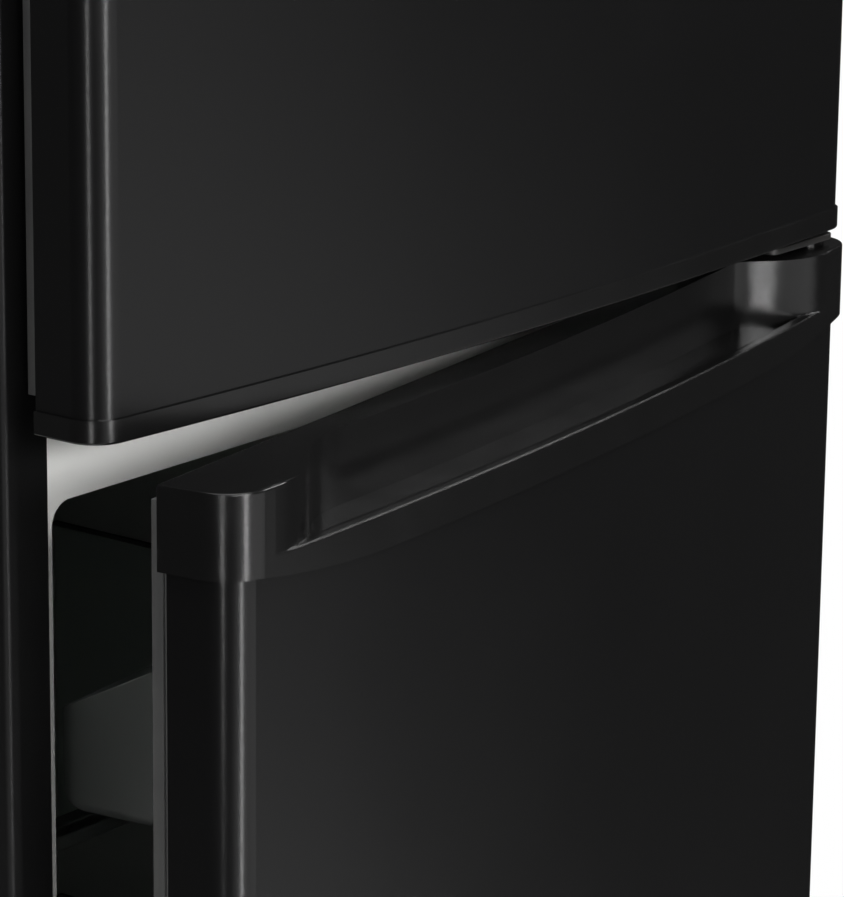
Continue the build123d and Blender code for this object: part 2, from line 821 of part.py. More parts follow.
# Pan-head screws that hold the hinges; each shank fills its plate's hole
with BuildPart() as hinge_screws:
    with Locations((hinge_x - hinge_arm_w / 2, front_y + hinge_arm_w / 2, cabinet_h)):
        with GridLocations(1, hinge_arm_w / 2, 1, 2):
            Cylinder(screw_r, plate_t, align=(Align.CENTER, Align.CENTER, Align.MIN))
    with Locations((hinge_x - hinge_arm_w / 2, front_y + hinge_arm_w / 2, cabinet_h + plate_t)):
        with GridLocations(1, hinge_arm_w / 2, 1, 2):
            Cylinder(screw_head_r, screw_head_h, align=(Align.CENTER, Align.CENTER, Align.MIN))
    with BuildSketch(face):
        with Locations((plate_right - tab_w / 2, gap_mid)):
            with GridLocations(tab_w - 4 * screw_r, tab_h - 4 * screw_r, 2, 2):
                Circle(screw_r)
        with Locations((plate_right - tab_w / 2, (bottom_top - plate_t + bottom_tab_low) / 2)):
            with GridLocations(tab_w - 4 * screw_r, 1, 2, 1):
                Circle(screw_r)
    extrude(amount=tab_t)
    with BuildSketch(face.offset(tab_t)):
        with Locations((plate_right - tab_w / 2, gap_mid)):
            with GridLocations(tab_w - 4 * screw_r, tab_h - 4 * screw_r, 2, 2):
                Circle(screw_head_r)
        with Locations((plate_right - tab_w / 2, (bottom_top - plate_t + bottom_tab_low) / 2)):
            with GridLocations(tab_w - 4 * screw_r, 1, 2, 1):
                Circle(screw_head_r)
    extrude(amount=screw_head_h)
hinge_screws.part.label = "hinge_screws"
export_step(hinge_screws.part, "parts/hinge_screws.step")

# Plastic cover over the top hinge, open underneath
cover_room = cover_t + cover_clear
with BuildPart() as top_hinge_cover:
    with Locations((plate_right + cover_room, front_y - arm_back - cover_room, cabinet_h)):
        Box(
            plate_right - plate_left + 2 * cover_room,
            arm_back + hinge_arm_w + 2 * cover_room,
            cover_h,
            align=(Align.MAX, Align.MIN, Align.MIN),
        )
    fillet(top_hinge_cover.edges().filter_by(Axis.Z), pin_r + cover_room)
    fillet(top_hinge_cover.faces().sort_by(Axis.Z)[-1].edges(), 2 * cover_t)
    offset(amount=-cover_t, openings=top_hinge_cover.faces().sort_by(Axis.Z)[0])
top_hinge_cover.part.label = "top_hinge_cover"
export_step(top_hinge_cover.part, "parts/top_hinge_cover.step")

# Both doors, built in their own frames: x from the cabinet's middle, y from its front flange
doors = (
    ("freezer", closed, door_split_z, freezer_door_top, freezer_door_top - cap_h, freezer_rib_x),
    ("fridge", ajar, door_low_z, handle_top, handle_low, fridge_rib_x),
)
for door, frame, low, high, skin_high, rib_x in doors:
    # Painted steel skin: bowed front, two sides and narrow returns at the back
    with BuildPart() as skin:
        with BuildSketch(frame.offset(low + cap_h)):
            add(door_plan(0, door_setback))
            add(door_plan(-sheet, door_setback + sheet), mode=Mode.SUBTRACT)
            with Locations((0, -door_setback)):
                Rectangle(2 * (skin_x - skin_return), 4 * sheet, mode=Mode.SUBTRACT)
        extrude(amount=skin_high - low - cap_h)
    skin.part.label = f"{door}_door_skin"
    export_step(skin.part, f"parts/{door}_door_skin.step")

    # Foam core between the skin and the inner liner
    with BuildPart() as core:
        with BuildSketch(frame.offset(low + cap_h)):
            add(door_plan(-sheet, door_setback + sheet))
            with Locations((0, -door_setback)):
                Rectangle(2 * (skin_x - skin_return), 2 * sheet, align=(Align.CENTER, Align.MAX))
        extrude(amount=skin_high - low - cap_h)
    core.part.label = f"{door}_door_foam"
    export_step(core.part, f"parts/{door}_door_foam.step")

    # White inner liner: a sheet behind the skin with two ribs that carry the bins
    with BuildPart() as inner:
        with BuildSketch(frame.offset(low + cap_h)):
            with Locations((0, -door_setback)):
                Rectangle(2 * (skin_x - liner_inset), plate_liner_t, align=(Align.CENTER, Align.MIN))
        extrude(amount=skin_high - low - cap_h)
        with BuildSketch(frame.offset(low + rib_margin)):
            with Locations((0, -door_setback)):
                with GridLocations(2 * rib_x + rib_w, 1, 2, 1):
                    Rectangle(rib_w, rib_d, align=(Align.CENTER, Align.MIN))
        extrude(amount=high - low - 2 * rib_margin)
        if door == "fridge":
            with BuildSketch(frame.offset(plunger_z - plunger_arm_w / 2)):
                with Locations((plunger_x, -door_setback)):
                    Rectangle(
                        plunger_arm_w,
                        door_setback + plunger_tip - front_y - 2 * slip_clear,
                        align=(Align.CENTER, Align.MIN),
                    )
            extrude(amount=plunger_arm_w)
        fillet(inner.edges().filter_by(Axis.Z).group_by(Axis.Y)[-1], rib_w / 4)
    inner.part.label = f"{door}_door_liner"
    export_step(inner.part, f"parts/{door}_door_liner.step")

    # Soft magnetic gasket, a closed ring on the liner
    with BuildPart() as gasket:
        gasket_plane = Plane(origin=frame.origin, x_dir=frame.x_dir, z_dir=-frame.y_dir)
        with BuildSketch(gasket_plane.offset(door_setback - plate_liner_t)):
            with Locations((0, (low + high) / 2)):
                Rectangle(2 * (skin_x - gasket_inset), high - low - 2 * gasket_inset)
                Rectangle(
                    2 * (skin_x - gasket_inset - gasket_w),
                    high - low - 2 * (gasket_inset + gasket_w),
                    mode=Mode.SUBTRACT,
                )
        extrude(amount=-(door_setback - plate_liner_t - gasket_clear))
    gasket.part.label = f"{door}_door_gasket"
    export_step(gasket.part, f"parts/{door}_door_gasket.step")

    # Moulded bottom cap with the hinge bore and its bearing collar
    with BuildPart() as cap:
        with BuildSketch(frame.offset(low)):
            add(door_plan(cap_proud, door_setback))
        extrude(amount=cap_h)
        fillet(cap.faces().sort_by(Axis.Z)[0].edges(), cap_edge)
        with BuildSketch(frame.offset(low)):
            with Locations((hinge_x, -hinge_setback)):
                Circle(collar_r)
        extrude(amount=-collar_h)
        with BuildSketch(frame.offset(low - collar_h)):
            with Locations((hinge_x, -hinge_setback)):
                Circle(pin_bore)
        extrude(amount=bore_d, mode=Mode.SUBTRACT)
    cap.part.label = f"{door}_door_bottom_cap"
    export_step(cap.part, f"parts/{door}_door_bottom_cap.step")

# Moulded top cap of the freezer door
with BuildPart() as freezer_door_top_cap:
    with BuildSketch(closed.offset(freezer_door_top - cap_h)):
        add(door_plan(cap_proud, door_setback))
    extrude(amount=cap_h)
    fillet(freezer_door_top_cap.faces().sort_by(Axis.Z)[-1].edges(), cap_edge)
    with BuildSketch(closed.offset(freezer_door_top)):
        with Locations((hinge_x, -hinge_setback)):
            Circle(collar_r)
    extrude(amount=collar_h)
    with BuildSketch(closed.offset(freezer_door_top + collar_h)):
        with Locations((hinge_x, -hinge_setback)):
            Circle(pin_bore)
    extrude(amount=-bore_d, mode=Mode.SUBTRACT)
freezer_door_top_cap.part.label = "freezer_door_top_cap"
export_step(freezer_door_top_cap.part, "parts/freezer_door_top_cap.step")

# Handle cap of the lower door: an apron over the skin's top edge and a finger scoop behind a lip
apron_low = handle_low - apron_drop
apron_r = ((apron_end - apron_flat) ** 2 + apron_drop**2) / (2 * apron_drop)
lip_z = handle_top - lip_drop
with BuildPart() as fridge_door_handle_cap:
    with BuildSketch(ajar_face):
        with BuildLine():
            RadiusArc((-apron_end, handle_low), (-apron_flat, apron_low), -apron_r)
            Line((-apron_flat, apron_low), (apron_flat, apron_low))
            RadiusArc((apron_flat, apron_low), (apron_end, handle_low), -apron_r)
            Line((apron_end, handle_low), (-apron_end, handle_low))
        make_face()
    extrude(amount=door_setback + door_t + door_bow + 2 * handle_proud)
    with BuildSketch(ajar.offset(apron_low)):
        add(door_plan(handle_proud, door_setback))
        add(door_plan(apron_clear, door_setback), mode=Mode.SUBTRACT)
    extrude(amount=apron_drop, mode=Mode.INTERSECT)
    with BuildSketch(ajar.offset(handle_low)):
        add(door_plan(handle_proud, door_setback - handle_back))
    extrude(amount=handle_h)
    fillet(fridge_door_handle_cap.faces().sort_by(Axis.Z)[-1].edges(), handle_edge)
    with BuildSketch(ajar.offset(lip_z)):
        add(scoop_plan())
    extrude(amount=lip_drop, mode=Mode.SUBTRACT)
    with BuildSketch(ajar.offset(lip_z - trough_d)):
        add(scoop_plan())
        add(door_plan(handle_proud - lip_t, door_setback), mode=Mode.INTERSECT)
    extrude(amount=trough_d, mode=Mode.SUBTRACT)
    with BuildSketch(ajar.offset(handle_top)):
        with Locations((hinge_x, -hinge_setback)):
            Circle(collar_r)
    extrude(amount=collar_h)
    with BuildSketch(ajar.offset(handle_top + collar_h)):
        with Locations((hinge_x, -hinge_setback)):
            Circle(pin_bore)
    extrude(amount=-bore_d, mode=Mode.SUBTRACT)
fridge_door_handle_cap.part.label = "fridge_door_handle_cap"
export_step(fridge_door_handle_cap.part, "parts/fridge_door_handle_cap.step")

# Open-topped bins between the ribs of the door liners, rounded at their free corners
door_bins = (
    ("freezer_door_bin", closed, freezer_rib_x, door_split_z + freezer_bin_rise, freezer_bin_h, freezer_bin_d),
    ("upper_door_bin", ajar, fridge_rib_x, handle_top - upper_bin_drop, upper_bin_h, upper_bin_d),
    ("middle_door_bin", ajar, fridge_rib_x, handle_top - middle_bin_drop, middle_bin_h, upper_bin_d),
    ("bottle_bin", ajar, fridge_rib_x, door_low_z + bottle_bin_rise, bottle_bin_h, bottle_bin_d),
)
for bin_name, frame, half, low, height, depth in door_bins:
    with BuildPart() as door_bin:
        with BuildSketch(frame.offset(low)) as bin_plan:
            with Locations((0, plate_liner_t - door_setback)):
                Rectangle(2 * half, depth, align=(Align.CENTER, Align.MIN))
            fillet(bin_plan.vertices().group_by(Axis.Y)[-1], bin_corner)
        extrude(amount=height)
        fillet(door_bin.faces().sort_by(Axis.Z)[0].edges(), bin_foot)
        offset(amount=-bin_t, openings=door_bin.faces().sort_by(Axis.Z)[-1])
        end_plane = Plane(origin=frame.origin, x_dir=frame.y_dir, z_dir=frame.x_dir)
        bin_rear = plate_liner_t - door_setback + depth
        with BuildSketch(end_plane):
            with BuildLine():
                Polyline(
                    (bin_slope_start, low + height),
                    (bin_rear, low + height),
                    (bin_rear, low + height - bin_rail_drop),
                    close=True,
                )
            make_face()
        extrude(amount=half, both=True, mode=Mode.SUBTRACT)
    door_bin.part.label = bin_name
    export_step(door_bin.part, f"parts/{bin_name}.step")

# Slotted plastic grille under the lower door, short of the bottom hinge
grille_right = plate_right - tab_w - grille_hinge_gap
grille_top = door_low_z - grille_top_clear
grille_w = grille_right + rim_x
with BuildPart() as toe_grille:
    with Locations((-rim_x, front_y, grille_low)):
        Box(grille_w, grille_t, grille_top - grille_low, align=(Align.MIN, Align.MAX, Align.MIN))
    fillet(toe_grille.faces().sort_by(Axis.Y)[0].edges(), grille_t / 4)
    with BuildSketch(face):
        with Locations(((grille_right - rim_x) / 2, (grille_low + grille_top) / 2)):
            with GridLocations(grille_w / (grille_slots + 1), 1, grille_slots, 1):
                SlotOverall(
                    grille_top - grille_low - 2 * grille_slot_margin, grille_slot_w, rotation=90
                )
    extrude(amount=grille_t, mode=Mode.SUBTRACT)
toe_grille.part.label = "toe_grille"
export_step(toe_grille.part, "parts/toe_grille.step")

# Plastic nuts set in the base for the levelling feet
with BuildPart() as foot_inserts:
    with Locations((0, front_y + foot_in, base_z)):
        with GridLocations(2 * foot_x, 1, 2, 1):
            Cylinder(insert_r, insert_l, align=(Align.CENTER, Align.CENTER, Align.MIN))
            Cylinder(
                insert_flange_r, insert_flange_h, align=(Align.CENTER, Align.CENTER, Align.MAX)
            )
    with Locations((0, front_y + foot_in, foot_h)):
        with GridLocations(2 * foot_x, 1, 2, 1):
            Cylinder(
                stud_r + stud_clear,
                stud_l + bore_spare,
                align=(Align.CENTER, Align.CENTER, Align.MIN),
                mode=Mode.SUBTRACT,
            )
foot_inserts.part.label = "foot_inserts"
export_step(foot_inserts.part, "parts/foot_inserts.step")

# Levelling feet: a flat pad on a threaded stud, turned by hand
for foot_name, side in (("left_foot", -1), ("right_foot", 1)):
    with BuildPart() as foot:
        with Locations((side * foot_x, front_y + foot_in, 0)):
            Cylinder(foot_r, foot_h, align=(Align.CENTER, Align.CENTER, Align.MIN))
        chamfer(foot.faces().sort_by(Axis.Z)[-1].edges(), foot_h / 4)
        with Locations((side * foot_x, front_y + foot_in, foot_h)):
            Cylinder(stud_r, stud_l, align=(Align.CENTER, Align.CENTER, Align.MIN))
    foot.part.label = foot_name
    export_step(foot.part, f"parts/{foot_name}.step")

# Steel tray across the compressor bay, with turned-up ends fixed to the side panels
tray_front = step_y + tray_front_gap
with BuildPart() as compressor_tray:
    with Locations((0, tray_front, base_z)):
        Box(
            cabinet_w - 2 * sheet,
            back_y - tray_front,
            tray_t,
            align=(Align.CENTER, Align.MIN, Align.MIN),
        )
    with Locations((0, tray_front, base_z)):
        with GridLocations(cabinet_w - 2 * sheet - tray_t, 1, 2, 1):
            Box(
                tray_t,
                back_y - tray_front,
                tray_end_h,
                align=(Align.CENTER, Align.MIN, Align.MIN),
            )
compressor_tray.part.label = "compressor_tray"
export_step(compressor_tray.part, "parts/compressor_tray.step")

# Roller forks under the tray, each with two cheeks and its fixed axle
roller_y = back_y - roller_back
with BuildPart() as roller_forks:
    for side in (-1, 1):
        with Locations((side * roller_x, roller_y, base_z)):
            with GridLocations(roller_w + 2 * roller_side_clear + cheek_t, 1, 2, 1):
                Box(
                    cheek_t,
                    cheek_d,
                    base_z - roller_r + 2 * axle_r,
                    align=(Align.CENTER, Align.CENTER, Align.MAX),
                )
        with BuildSketch(Plane.YZ.offset(side * roller_x)):
            with Locations((roller_y, roller_r)):
                Circle(axle_r)
        extrude(amount=roller_w / 2 + roller_side_clear + cheek_t, both=True)
roller_forks.part.label = "roller_forks"
export_step(roller_forks.part, "parts/roller_forks.step")

# Rear rollers on their axles
for roller_name, side in (("left_roller", -1), ("right_roller", 1)):
    with BuildPart() as roller:
        with BuildSketch(Plane.YZ.offset(side * roller_x)):
            with Locations((roller_y, roller_r)):
                Circle(roller_r)
                Circle(axle_r + axle_clear, mode=Mode.SUBTRACT)
        extrude(amount=roller_w / 2, both=True)
    roller.part.label = roller_name
    export_step(roller.part, f"parts/{roller_name}.step")

# Rubber grommets between the tray and the compressor's foot plate
compressor_y = (tray_front + back_y) / 2
with BuildPart() as compressor_grommets:
    with Locations((compressor_x, compressor_y, base_z + tray_t)):
        with GridLocations(
            compressor_foot_w - 2 * grommet_inset, compressor_foot_d - 2 * grommet_inset, 2, 2
        ):
            Cylinder(grommet_r, grommet_h, align=(Align.CENTER, Align.CENTER, Align.MIN))
compressor_grommets.part.label = "compressor_grommets"
export_step(compressor_grommets.part, "parts/compressor_grommets.step")

# Hermetic compressor: welded pot with a domed top, foot plate, relay pad and two pipe stubs
pot_low = base_z + tray_t + grommet_h
pot_top = pot_low + compressor_h
stub_z = pot_low + compressor_h / 2
relay_pad_x = compressor_x + compressor_r + relay_pad
with BuildPart() as compressor:
    with Locations((compressor_x, compressor_y, pot_low)):
        Box(
            compressor_foot_w,
            compressor_foot_d,
            compressor_foot_t,
            align=(Align.CENTER, Align.CENTER, Align.MIN),
        )
    fillet(compressor.edges().filter_by(Axis.Z), grommet_r)
    with Locations((compressor_x, compressor_y, pot_low)):
        Cylinder(compressor_r, compressor_h, align=(Align.CENTER, Align.CENTER, Align.MIN))
    fillet(compressor.faces().sort_by(Axis.Z)[-1].edges(), compressor_dome)
    with Locations((relay_pad_x, compressor_y, stub_z)):
        Box(
            relay_pad + compressor_r / 2,
            relay_d,
            relay_h,
            align=(Align.MAX, Align.CENTER, Align.CENTER),
        )
    for stub_y in (-pipe_r * 4, pipe_r * 4):
        with BuildSketch(Plane.YZ.offset(compressor_x)):
            with Locations((compressor_y + stub_y, stub_z)):
                Circle(stub_r)
        extrude(amount=-(compressor_r + stub_l))
compressor.part.label = "compressor"
export_step(compressor.part, "parts/compressor.step")

# Start relay and overload in their box on the compressor's side
with BuildPart() as start_relay:
    with Locations((relay_pad_x, compressor_y, stub_z)):
        Box(relay_w, relay_d, relay_h, align=(Align.MIN, Align.CENTER, Align.CENTER))
    fillet(start_relay.faces().sort_by(Axis.X)[-1].edges(), relay_w / 8)
start_relay.part.label = "start_relay"
export_step(start_relay.part, "parts/start_relay.step")

# Evaporating pan resting on the compressor's top, under the drain
with BuildPart() as drip_pan:
    with Locations((compressor_x, compressor_y, pot_top)):
        Box(pan_w, pan_d, pan_h, align=(Align.CENTER, Align.CENTER, Align.MIN))
    fillet(drip_pan.edges().filter_by(Axis.Z), opening_corner)
    offset(amount=-pan_t, openings=drip_pan.faces().sort_by(Axis.Z)[-1])
drip_pan.part.label = "drip_pan"
export_step(drip_pan.part, "parts/drip_pan.step")

# Serpentine condenser tube behind the back panel
coil_y = back_y + coil_off
coil_x = coil_w / 2
with BuildPart() as condenser_tube:
    with BuildLine() as coil:
        for turn in range(coil_passes):
            side = 1 if turn % 2 else -1
            z = coil_low + turn * coil_pitch
            Line((side * coil_x, coil_y, z), (-side * coil_x, coil_y, z))
            if turn < coil_passes - 1:
                ThreePointArc(
                    (-side * coil_x, coil_y, z),
                    (-side * (coil_x + coil_pitch / 2), coil_y, z + coil_pitch / 2),
                    (-side * coil_x, coil_y, z + coil_pitch),
                )
    with BuildSketch(Plane(origin=coil.line @ 0, z_dir=coil.line % 0)):
        Circle(coil_r)
    sweep()
condenser_tube.part.label = "condenser_tube"
export_step(condenser_tube.part, "parts/condenser_tube.step")

# Wire rack welded behind the tube: upright wires between two flat bars
wire_y = coil_y + coil_r + wire_r + wire_gap
wire_span = coil_w - 2 * wire_over
wire_low = coil_low - wire_over
wire_high = coil_low + (coil_passes - 1) * coil_pitch + wire_over
with BuildPart() as condenser_grid:
    with BuildSketch(Plane.XY.offset(wire_low)):
        with Locations((0, wire_y)):
            with GridLocations(wire_span / (wire_count - 1), 1, wire_count, 1):
                Circle(wire_r)
    extrude(amount=wire_high - wire_low)
    for bar_z in (wire_low, wire_high):
        with Locations((0, wire_y, bar_z)):
            Box(wire_span + 2 * bar_h, bar_t, bar_h)
condenser_grid.part.label = "condenser_grid"
export_step(condenser_grid.part, "parts/condenser_grid.step")

# Plastic clips that hold the rack off the back panel
with BuildPart() as condenser_clips:
    for clip_z in (wire_low, wire_high):
        with Locations((0, back_y, clip_z)):
            with GridLocations(coil_w - coil_pitch, 1, 2, 1):
                Box(
                    clip_w,
                    wire_y - bar_t / 2 - back_y,
                    clip_h,
                    align=(Align.CENTER, Align.MIN, Align.CENTER),
                )
condenser_clips.part.label = "condenser_clips"
export_step(condenser_clips.part, "parts/condenser_clips.step")

# Copper filter drier upright in the compressor bay, on the tray
with BuildPart() as filter_drier:
    with Locations((drier_x, compressor_y, base_z + tray_t)):
        Cylinder(drier_r, drier_l, align=(Align.CENTER, Align.CENTER, Align.MIN))
    fillet(filter_drier.edges().filter_by(GeomType.CIRCLE), drier_r / 2)
filter_drier.part.label = "filter_drier"
export_step(filter_drier.part, "parts/filter_drier.step")

# Copper pipes: from the compressor's stubs to the coil's first pass and to the back panel's foot
pipe_bend = 4 * pipe_r
stub_x = compressor_x - compressor_r - stub_l
coil_start_x = -coil_x
pipe_routes = (
    (
        (stub_x, compressor_y + pipe_r * 4, stub_z),
        (coil_start_x - pipe_bend * 3, compressor_y + pipe_r * 4, stub_z),
        (coil_start_x - pipe_bend * 3, coil_y, stub_z),
        (coil_start_x - pipe_bend * 3, coil_y, coil_low),
        (coil_start_x, coil_y, coil_low),
    ),
    (
        (stub_x, compressor_y - pipe_r * 4, stub_z),
        (stub_x - pipe_bend * 3, compressor_y - pipe_r * 4, stub_z),
        (stub_x - pipe_bend * 3, compressor_y - pipe_r * 4, step_z),
    ),
)
with BuildPart() as refrigerant_pipes:
    for route in pipe_routes:
        with BuildLine() as path:
            FilletPolyline(*route, radius=pipe_bend)
        with BuildSketch(Plane(origin=path.line @ 0, z_dir=path.line % 0)):
            Circle(pipe_r)
        sweep(path=path.line)
refrigerant_pipes.part.label = "refrigerant_pipes"
export_step(refrigerant_pipes.part, "parts/refrigerant_pipes.step")
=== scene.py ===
import json
from math import cos, pi, radians, sin

import bpy
from mathutils import Matrix, Vector


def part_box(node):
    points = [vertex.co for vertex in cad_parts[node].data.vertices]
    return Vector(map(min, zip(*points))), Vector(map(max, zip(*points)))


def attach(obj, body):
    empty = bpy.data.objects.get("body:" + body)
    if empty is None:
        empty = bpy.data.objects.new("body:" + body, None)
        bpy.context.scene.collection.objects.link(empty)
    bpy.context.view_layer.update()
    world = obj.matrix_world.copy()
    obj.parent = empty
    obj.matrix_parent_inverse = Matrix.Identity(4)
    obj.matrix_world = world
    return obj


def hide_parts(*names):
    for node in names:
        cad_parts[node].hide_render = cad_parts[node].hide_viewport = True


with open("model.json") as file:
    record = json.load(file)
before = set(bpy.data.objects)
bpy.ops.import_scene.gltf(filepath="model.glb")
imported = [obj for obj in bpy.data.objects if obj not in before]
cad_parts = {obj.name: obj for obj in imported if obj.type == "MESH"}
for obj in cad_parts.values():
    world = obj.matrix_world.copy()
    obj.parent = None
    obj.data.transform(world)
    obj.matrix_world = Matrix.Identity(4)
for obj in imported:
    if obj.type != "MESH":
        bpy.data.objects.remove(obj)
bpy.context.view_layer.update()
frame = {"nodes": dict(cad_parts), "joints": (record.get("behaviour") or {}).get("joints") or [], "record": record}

nodes = frame["nodes"]

# View: a long lens at the front left corner, a little above the line where the two doors meet,
# turned to the right and down as the photograph was taken. The frame's long side is its height.
PHOTO_H = 897
FOCAL_PX = 4244.5
SENSOR_MM = 36.0
CAMERA_PLACE = (-1.4583, -1.3237, 1.4207)
CAMERA_HEADING = radians(52.37)
CAMERA_DOWN = radians(15.21)
CAMERA_ROLL = radians(0.61)

bpy.ops.object.select_all(action="DESELECT")
bpy.ops.object.camera_add(location=CAMERA_PLACE)
camera = bpy.context.object
turn = Matrix.Rotation(-CAMERA_HEADING, 4, "Z") @ Matrix.Rotation(pi / 2 - CAMERA_DOWN, 4, "X")
camera.rotation_euler = (turn @ Matrix.Rotation(CAMERA_ROLL, 4, "Z")).to_euler()
camera.data.sensor_width = SENSOR_MM
camera.data.lens = FOCAL_PX / PHOTO_H * SENSOR_MM
bpy.context.scene.camera = camera
bpy.context.scene.view_settings.view_transform = "Standard"

# Lamps: a broad key ahead, two tall strips that draw the lines on the doors' left corners, a bar at the right
# that lights the handle's lip, a soft lamp overhead and two low ones behind. A strip stands upright.
LAMP_TARGET = Vector((0.0, -0.1, 0.9))
STRIP_RATIO = 2
LAMPS = (
    ("left_strip", (-2.75, -1.55, 1.15), 0.05, 2.3, 14.0),
    ("front_strip", (-0.31, -1.20, 1.00), 0.032, 2.0, 7.5),
    ("key", (-1.0, -3.0, 1.80), 2.4, 0.6, 54.0),
    ("right_bar", (2.3, -1.3, 2.35), 1.4, 0.35, 22.0),
    ("overhead", (-0.3, -0.6, 3.1), 2.2, 2.2, 34.0),
    ("rear_left", (-0.4, 3.1, 0.75), 1.2, 1.2, 12.0),
    ("rear_right", (1.3, 2.9, 0.75), 1.2, 1.2, 12.0),
)

for lamp_name, place, width, height, watts in LAMPS:
    bpy.ops.object.light_add(type="AREA", location=place)
    lamp = bpy.context.object
    lamp.name = lamp_name
    lamp.data.shape = "RECTANGLE"
    lamp.data.size = width
    lamp.data.size_y = height
    lamp.data.energy = watts
    lamp.visible_camera = False
    aim = LAMP_TARGET - Vector(place)
    if height > STRIP_RATIO * width:
        aim.z = 0.0
    lamp.rotation_euler = aim.to_track_quat("-Z", "Y").to_euler()

# Room: white to the eye and through glass, while glossy faces mirror a dark room with a dim glow low in front
# and a fainter one behind. Everything else gets an even fill.
ROOM_DARK = 0.03
ROOM_GLOW = 0.74
ROOM_BEHIND = 0.10
ROOM_FILL = 0.13
GLOW_HEADING = radians(14)
GLOW_DOWN = radians(45)
GLOW_CORE = 0.82
GLOW_EDGE = 0.66
BEHIND_CORE = 0.95
BEHIND_EDGE = 0.35
ROOM_WHITE = (1.0, 1.0, 1.0, 1.0)

world = bpy.data.worlds.new("studio")
bpy.context.scene.world = world
world.use_nodes = True
sky = world.node_tree
sky.nodes.clear()
direction = sky.nodes.new("ShaderNodeTexCoord")


def room_light(heading, down, core, edge, bright):
    """Strength of a glow by how close a direction lies to its heading; heading 0 is in front."""
    towards = sky.nodes.new("ShaderNodeVectorMath")
    towards.operation = "DOT_PRODUCT"
    towards.inputs[1].default_value = (sin(heading) * cos(down), -cos(heading) * cos(down), -sin(down))
    sky.links.new(direction.outputs["Generated"], towards.inputs[0])
    spread = sky.nodes.new("ShaderNodeMapRange")
    spread.interpolation_type = "SMOOTHSTEP"
    spread.inputs["From Min"].default_value = edge
    spread.inputs["From Max"].default_value = core
    spread.inputs["To Min"].default_value = ROOM_DARK
    spread.inputs["To Max"].default_value = bright
    sky.links.new(towards.outputs["Value"], spread.inputs["Value"])
    return spread.outputs["Result"]


brighter = sky.nodes.new("ShaderNodeMath")
brighter.operation = "MAXIMUM"
sky.links.new(room_light(GLOW_HEADING, GLOW_DOWN, GLOW_CORE, GLOW_EDGE, ROOM_GLOW), brighter.inputs[0])
sky.links.new(room_light(pi, 0.0, BEHIND_CORE, BEHIND_EDGE, ROOM_BEHIND), brighter.inputs[1])
seen = sky.nodes.new("ShaderNodeBackground")
mirrored = sky.nodes.new("ShaderNodeBackground")
fill = sky.nodes.new("ShaderNodeBackground")
for light in (seen, mirrored, fill):
    light.inputs["Color"].default_value = ROOM_WHITE
fill.inputs["Strength"].default_value = ROOM_FILL
sky.links.new(brighter.outputs[0], mirrored.inputs["Strength"])
ray = sky.nodes.new("ShaderNodeLightPath")
direct = sky.nodes.new("ShaderNodeMath")
direct.operation = "MAXIMUM"
sky.links.new(ray.outputs["Is Camera Ray"], direct.inputs[0])
sky.links.new(ray.outputs["Is Transmission Ray"], direct.inputs[1])
glossy_or_fill = sky.nodes.new("ShaderNodeMixShader")
sky.links.new(ray.outputs["Is Glossy Ray"], glossy_or_fill.inputs["Fac"])
sky.links.new(fill.outputs[0], glossy_or_fill.inputs[1])
sky.links.new(mirrored.outputs[0], glossy_or_fill.inputs[2])
all_rays = sky.nodes.new("ShaderNodeMixShader")
sky.links.new(direct.outputs[0], all_rays.inputs["Fac"])
sky.links.new(glossy_or_fill.outputs[0], all_rays.inputs[1])
sky.links.new(seen.outputs[0], all_rays.inputs[2])
sky.links.new(all_rays.outputs[0], sky.nodes.new("ShaderNodeOutputWorld").inputs["Surface"])

# Floor: a pale matte round sheet just under the feet, which keeps the object's shadow and fades to white
# towards its edge, so that no rim shows.
FLOOR_R = 1.5
FLOOR_DROP = 0.0005
FLOOR_PALE = (0.80, 0.80, 0.79, 1.0)
FLOOR_ROUGHNESS = 0.9
FLOOR_SHINE = 0.1
FADE_FROM = 0.5
FADE_TO = 0.97 * FLOOR_R

bpy.ops.mesh.primitive_circle_add(
    vertices=96, radius=FLOOR_R, fill_type="NGON", location=(0, 0, -FLOOR_DROP)
)
floor = bpy.context.object
floor.name = "floor"
bpy.ops.object.transform_apply(location=True, rotation=True, scale=True)
floor_sheet = bpy.data.materials.new("floor_sheet")
floor_sheet.use_nodes = True
tree = floor_sheet.node_tree
matte = tree.nodes["Principled BSDF"]
matte.inputs["Base Color"].default_value = FLOOR_PALE
matte.inputs["Roughness"].default_value = FLOOR_ROUGHNESS
matte.inputs["Specular IOR Level"].default_value = FLOOR_SHINE
spot = tree.nodes.new("ShaderNodeTexCoord")
reach = tree.nodes.new("ShaderNodeVectorMath")
reach.operation = "LENGTH"
tree.links.new(spot.outputs["Object"], reach.inputs[0])
fade = tree.nodes.new("ShaderNodeMapRange")
fade.interpolation_type = "SMOOTHSTEP"
fade.inputs["From Min"].default_value = FADE_FROM
fade.inputs["From Max"].default_value = FADE_TO
tree.links.new(reach.outputs["Value"], fade.inputs["Value"])
eye = tree.nodes.new("ShaderNodeLightPath")
shown = tree.nodes.new("ShaderNodeMath")
shown.operation = "MULTIPLY"
tree.links.new(fade.outputs["Result"], shown.inputs[0])
tree.links.new(eye.outputs["Is Camera Ray"], shown.inputs[1])
glow = tree.nodes.new("ShaderNodeEmission")
edge = tree.nodes.new("ShaderNodeMixShader")
tree.links.new(shown.outputs[0], edge.inputs["Fac"])
tree.links.new(matte.outputs[0], edge.inputs[1])
tree.links.new(glow.outputs[0], edge.inputs[2])
tree.links.new(edge.outputs[0], tree.nodes["Material Output"].inputs["Surface"])
floor.data.materials.append(floor_sheet)

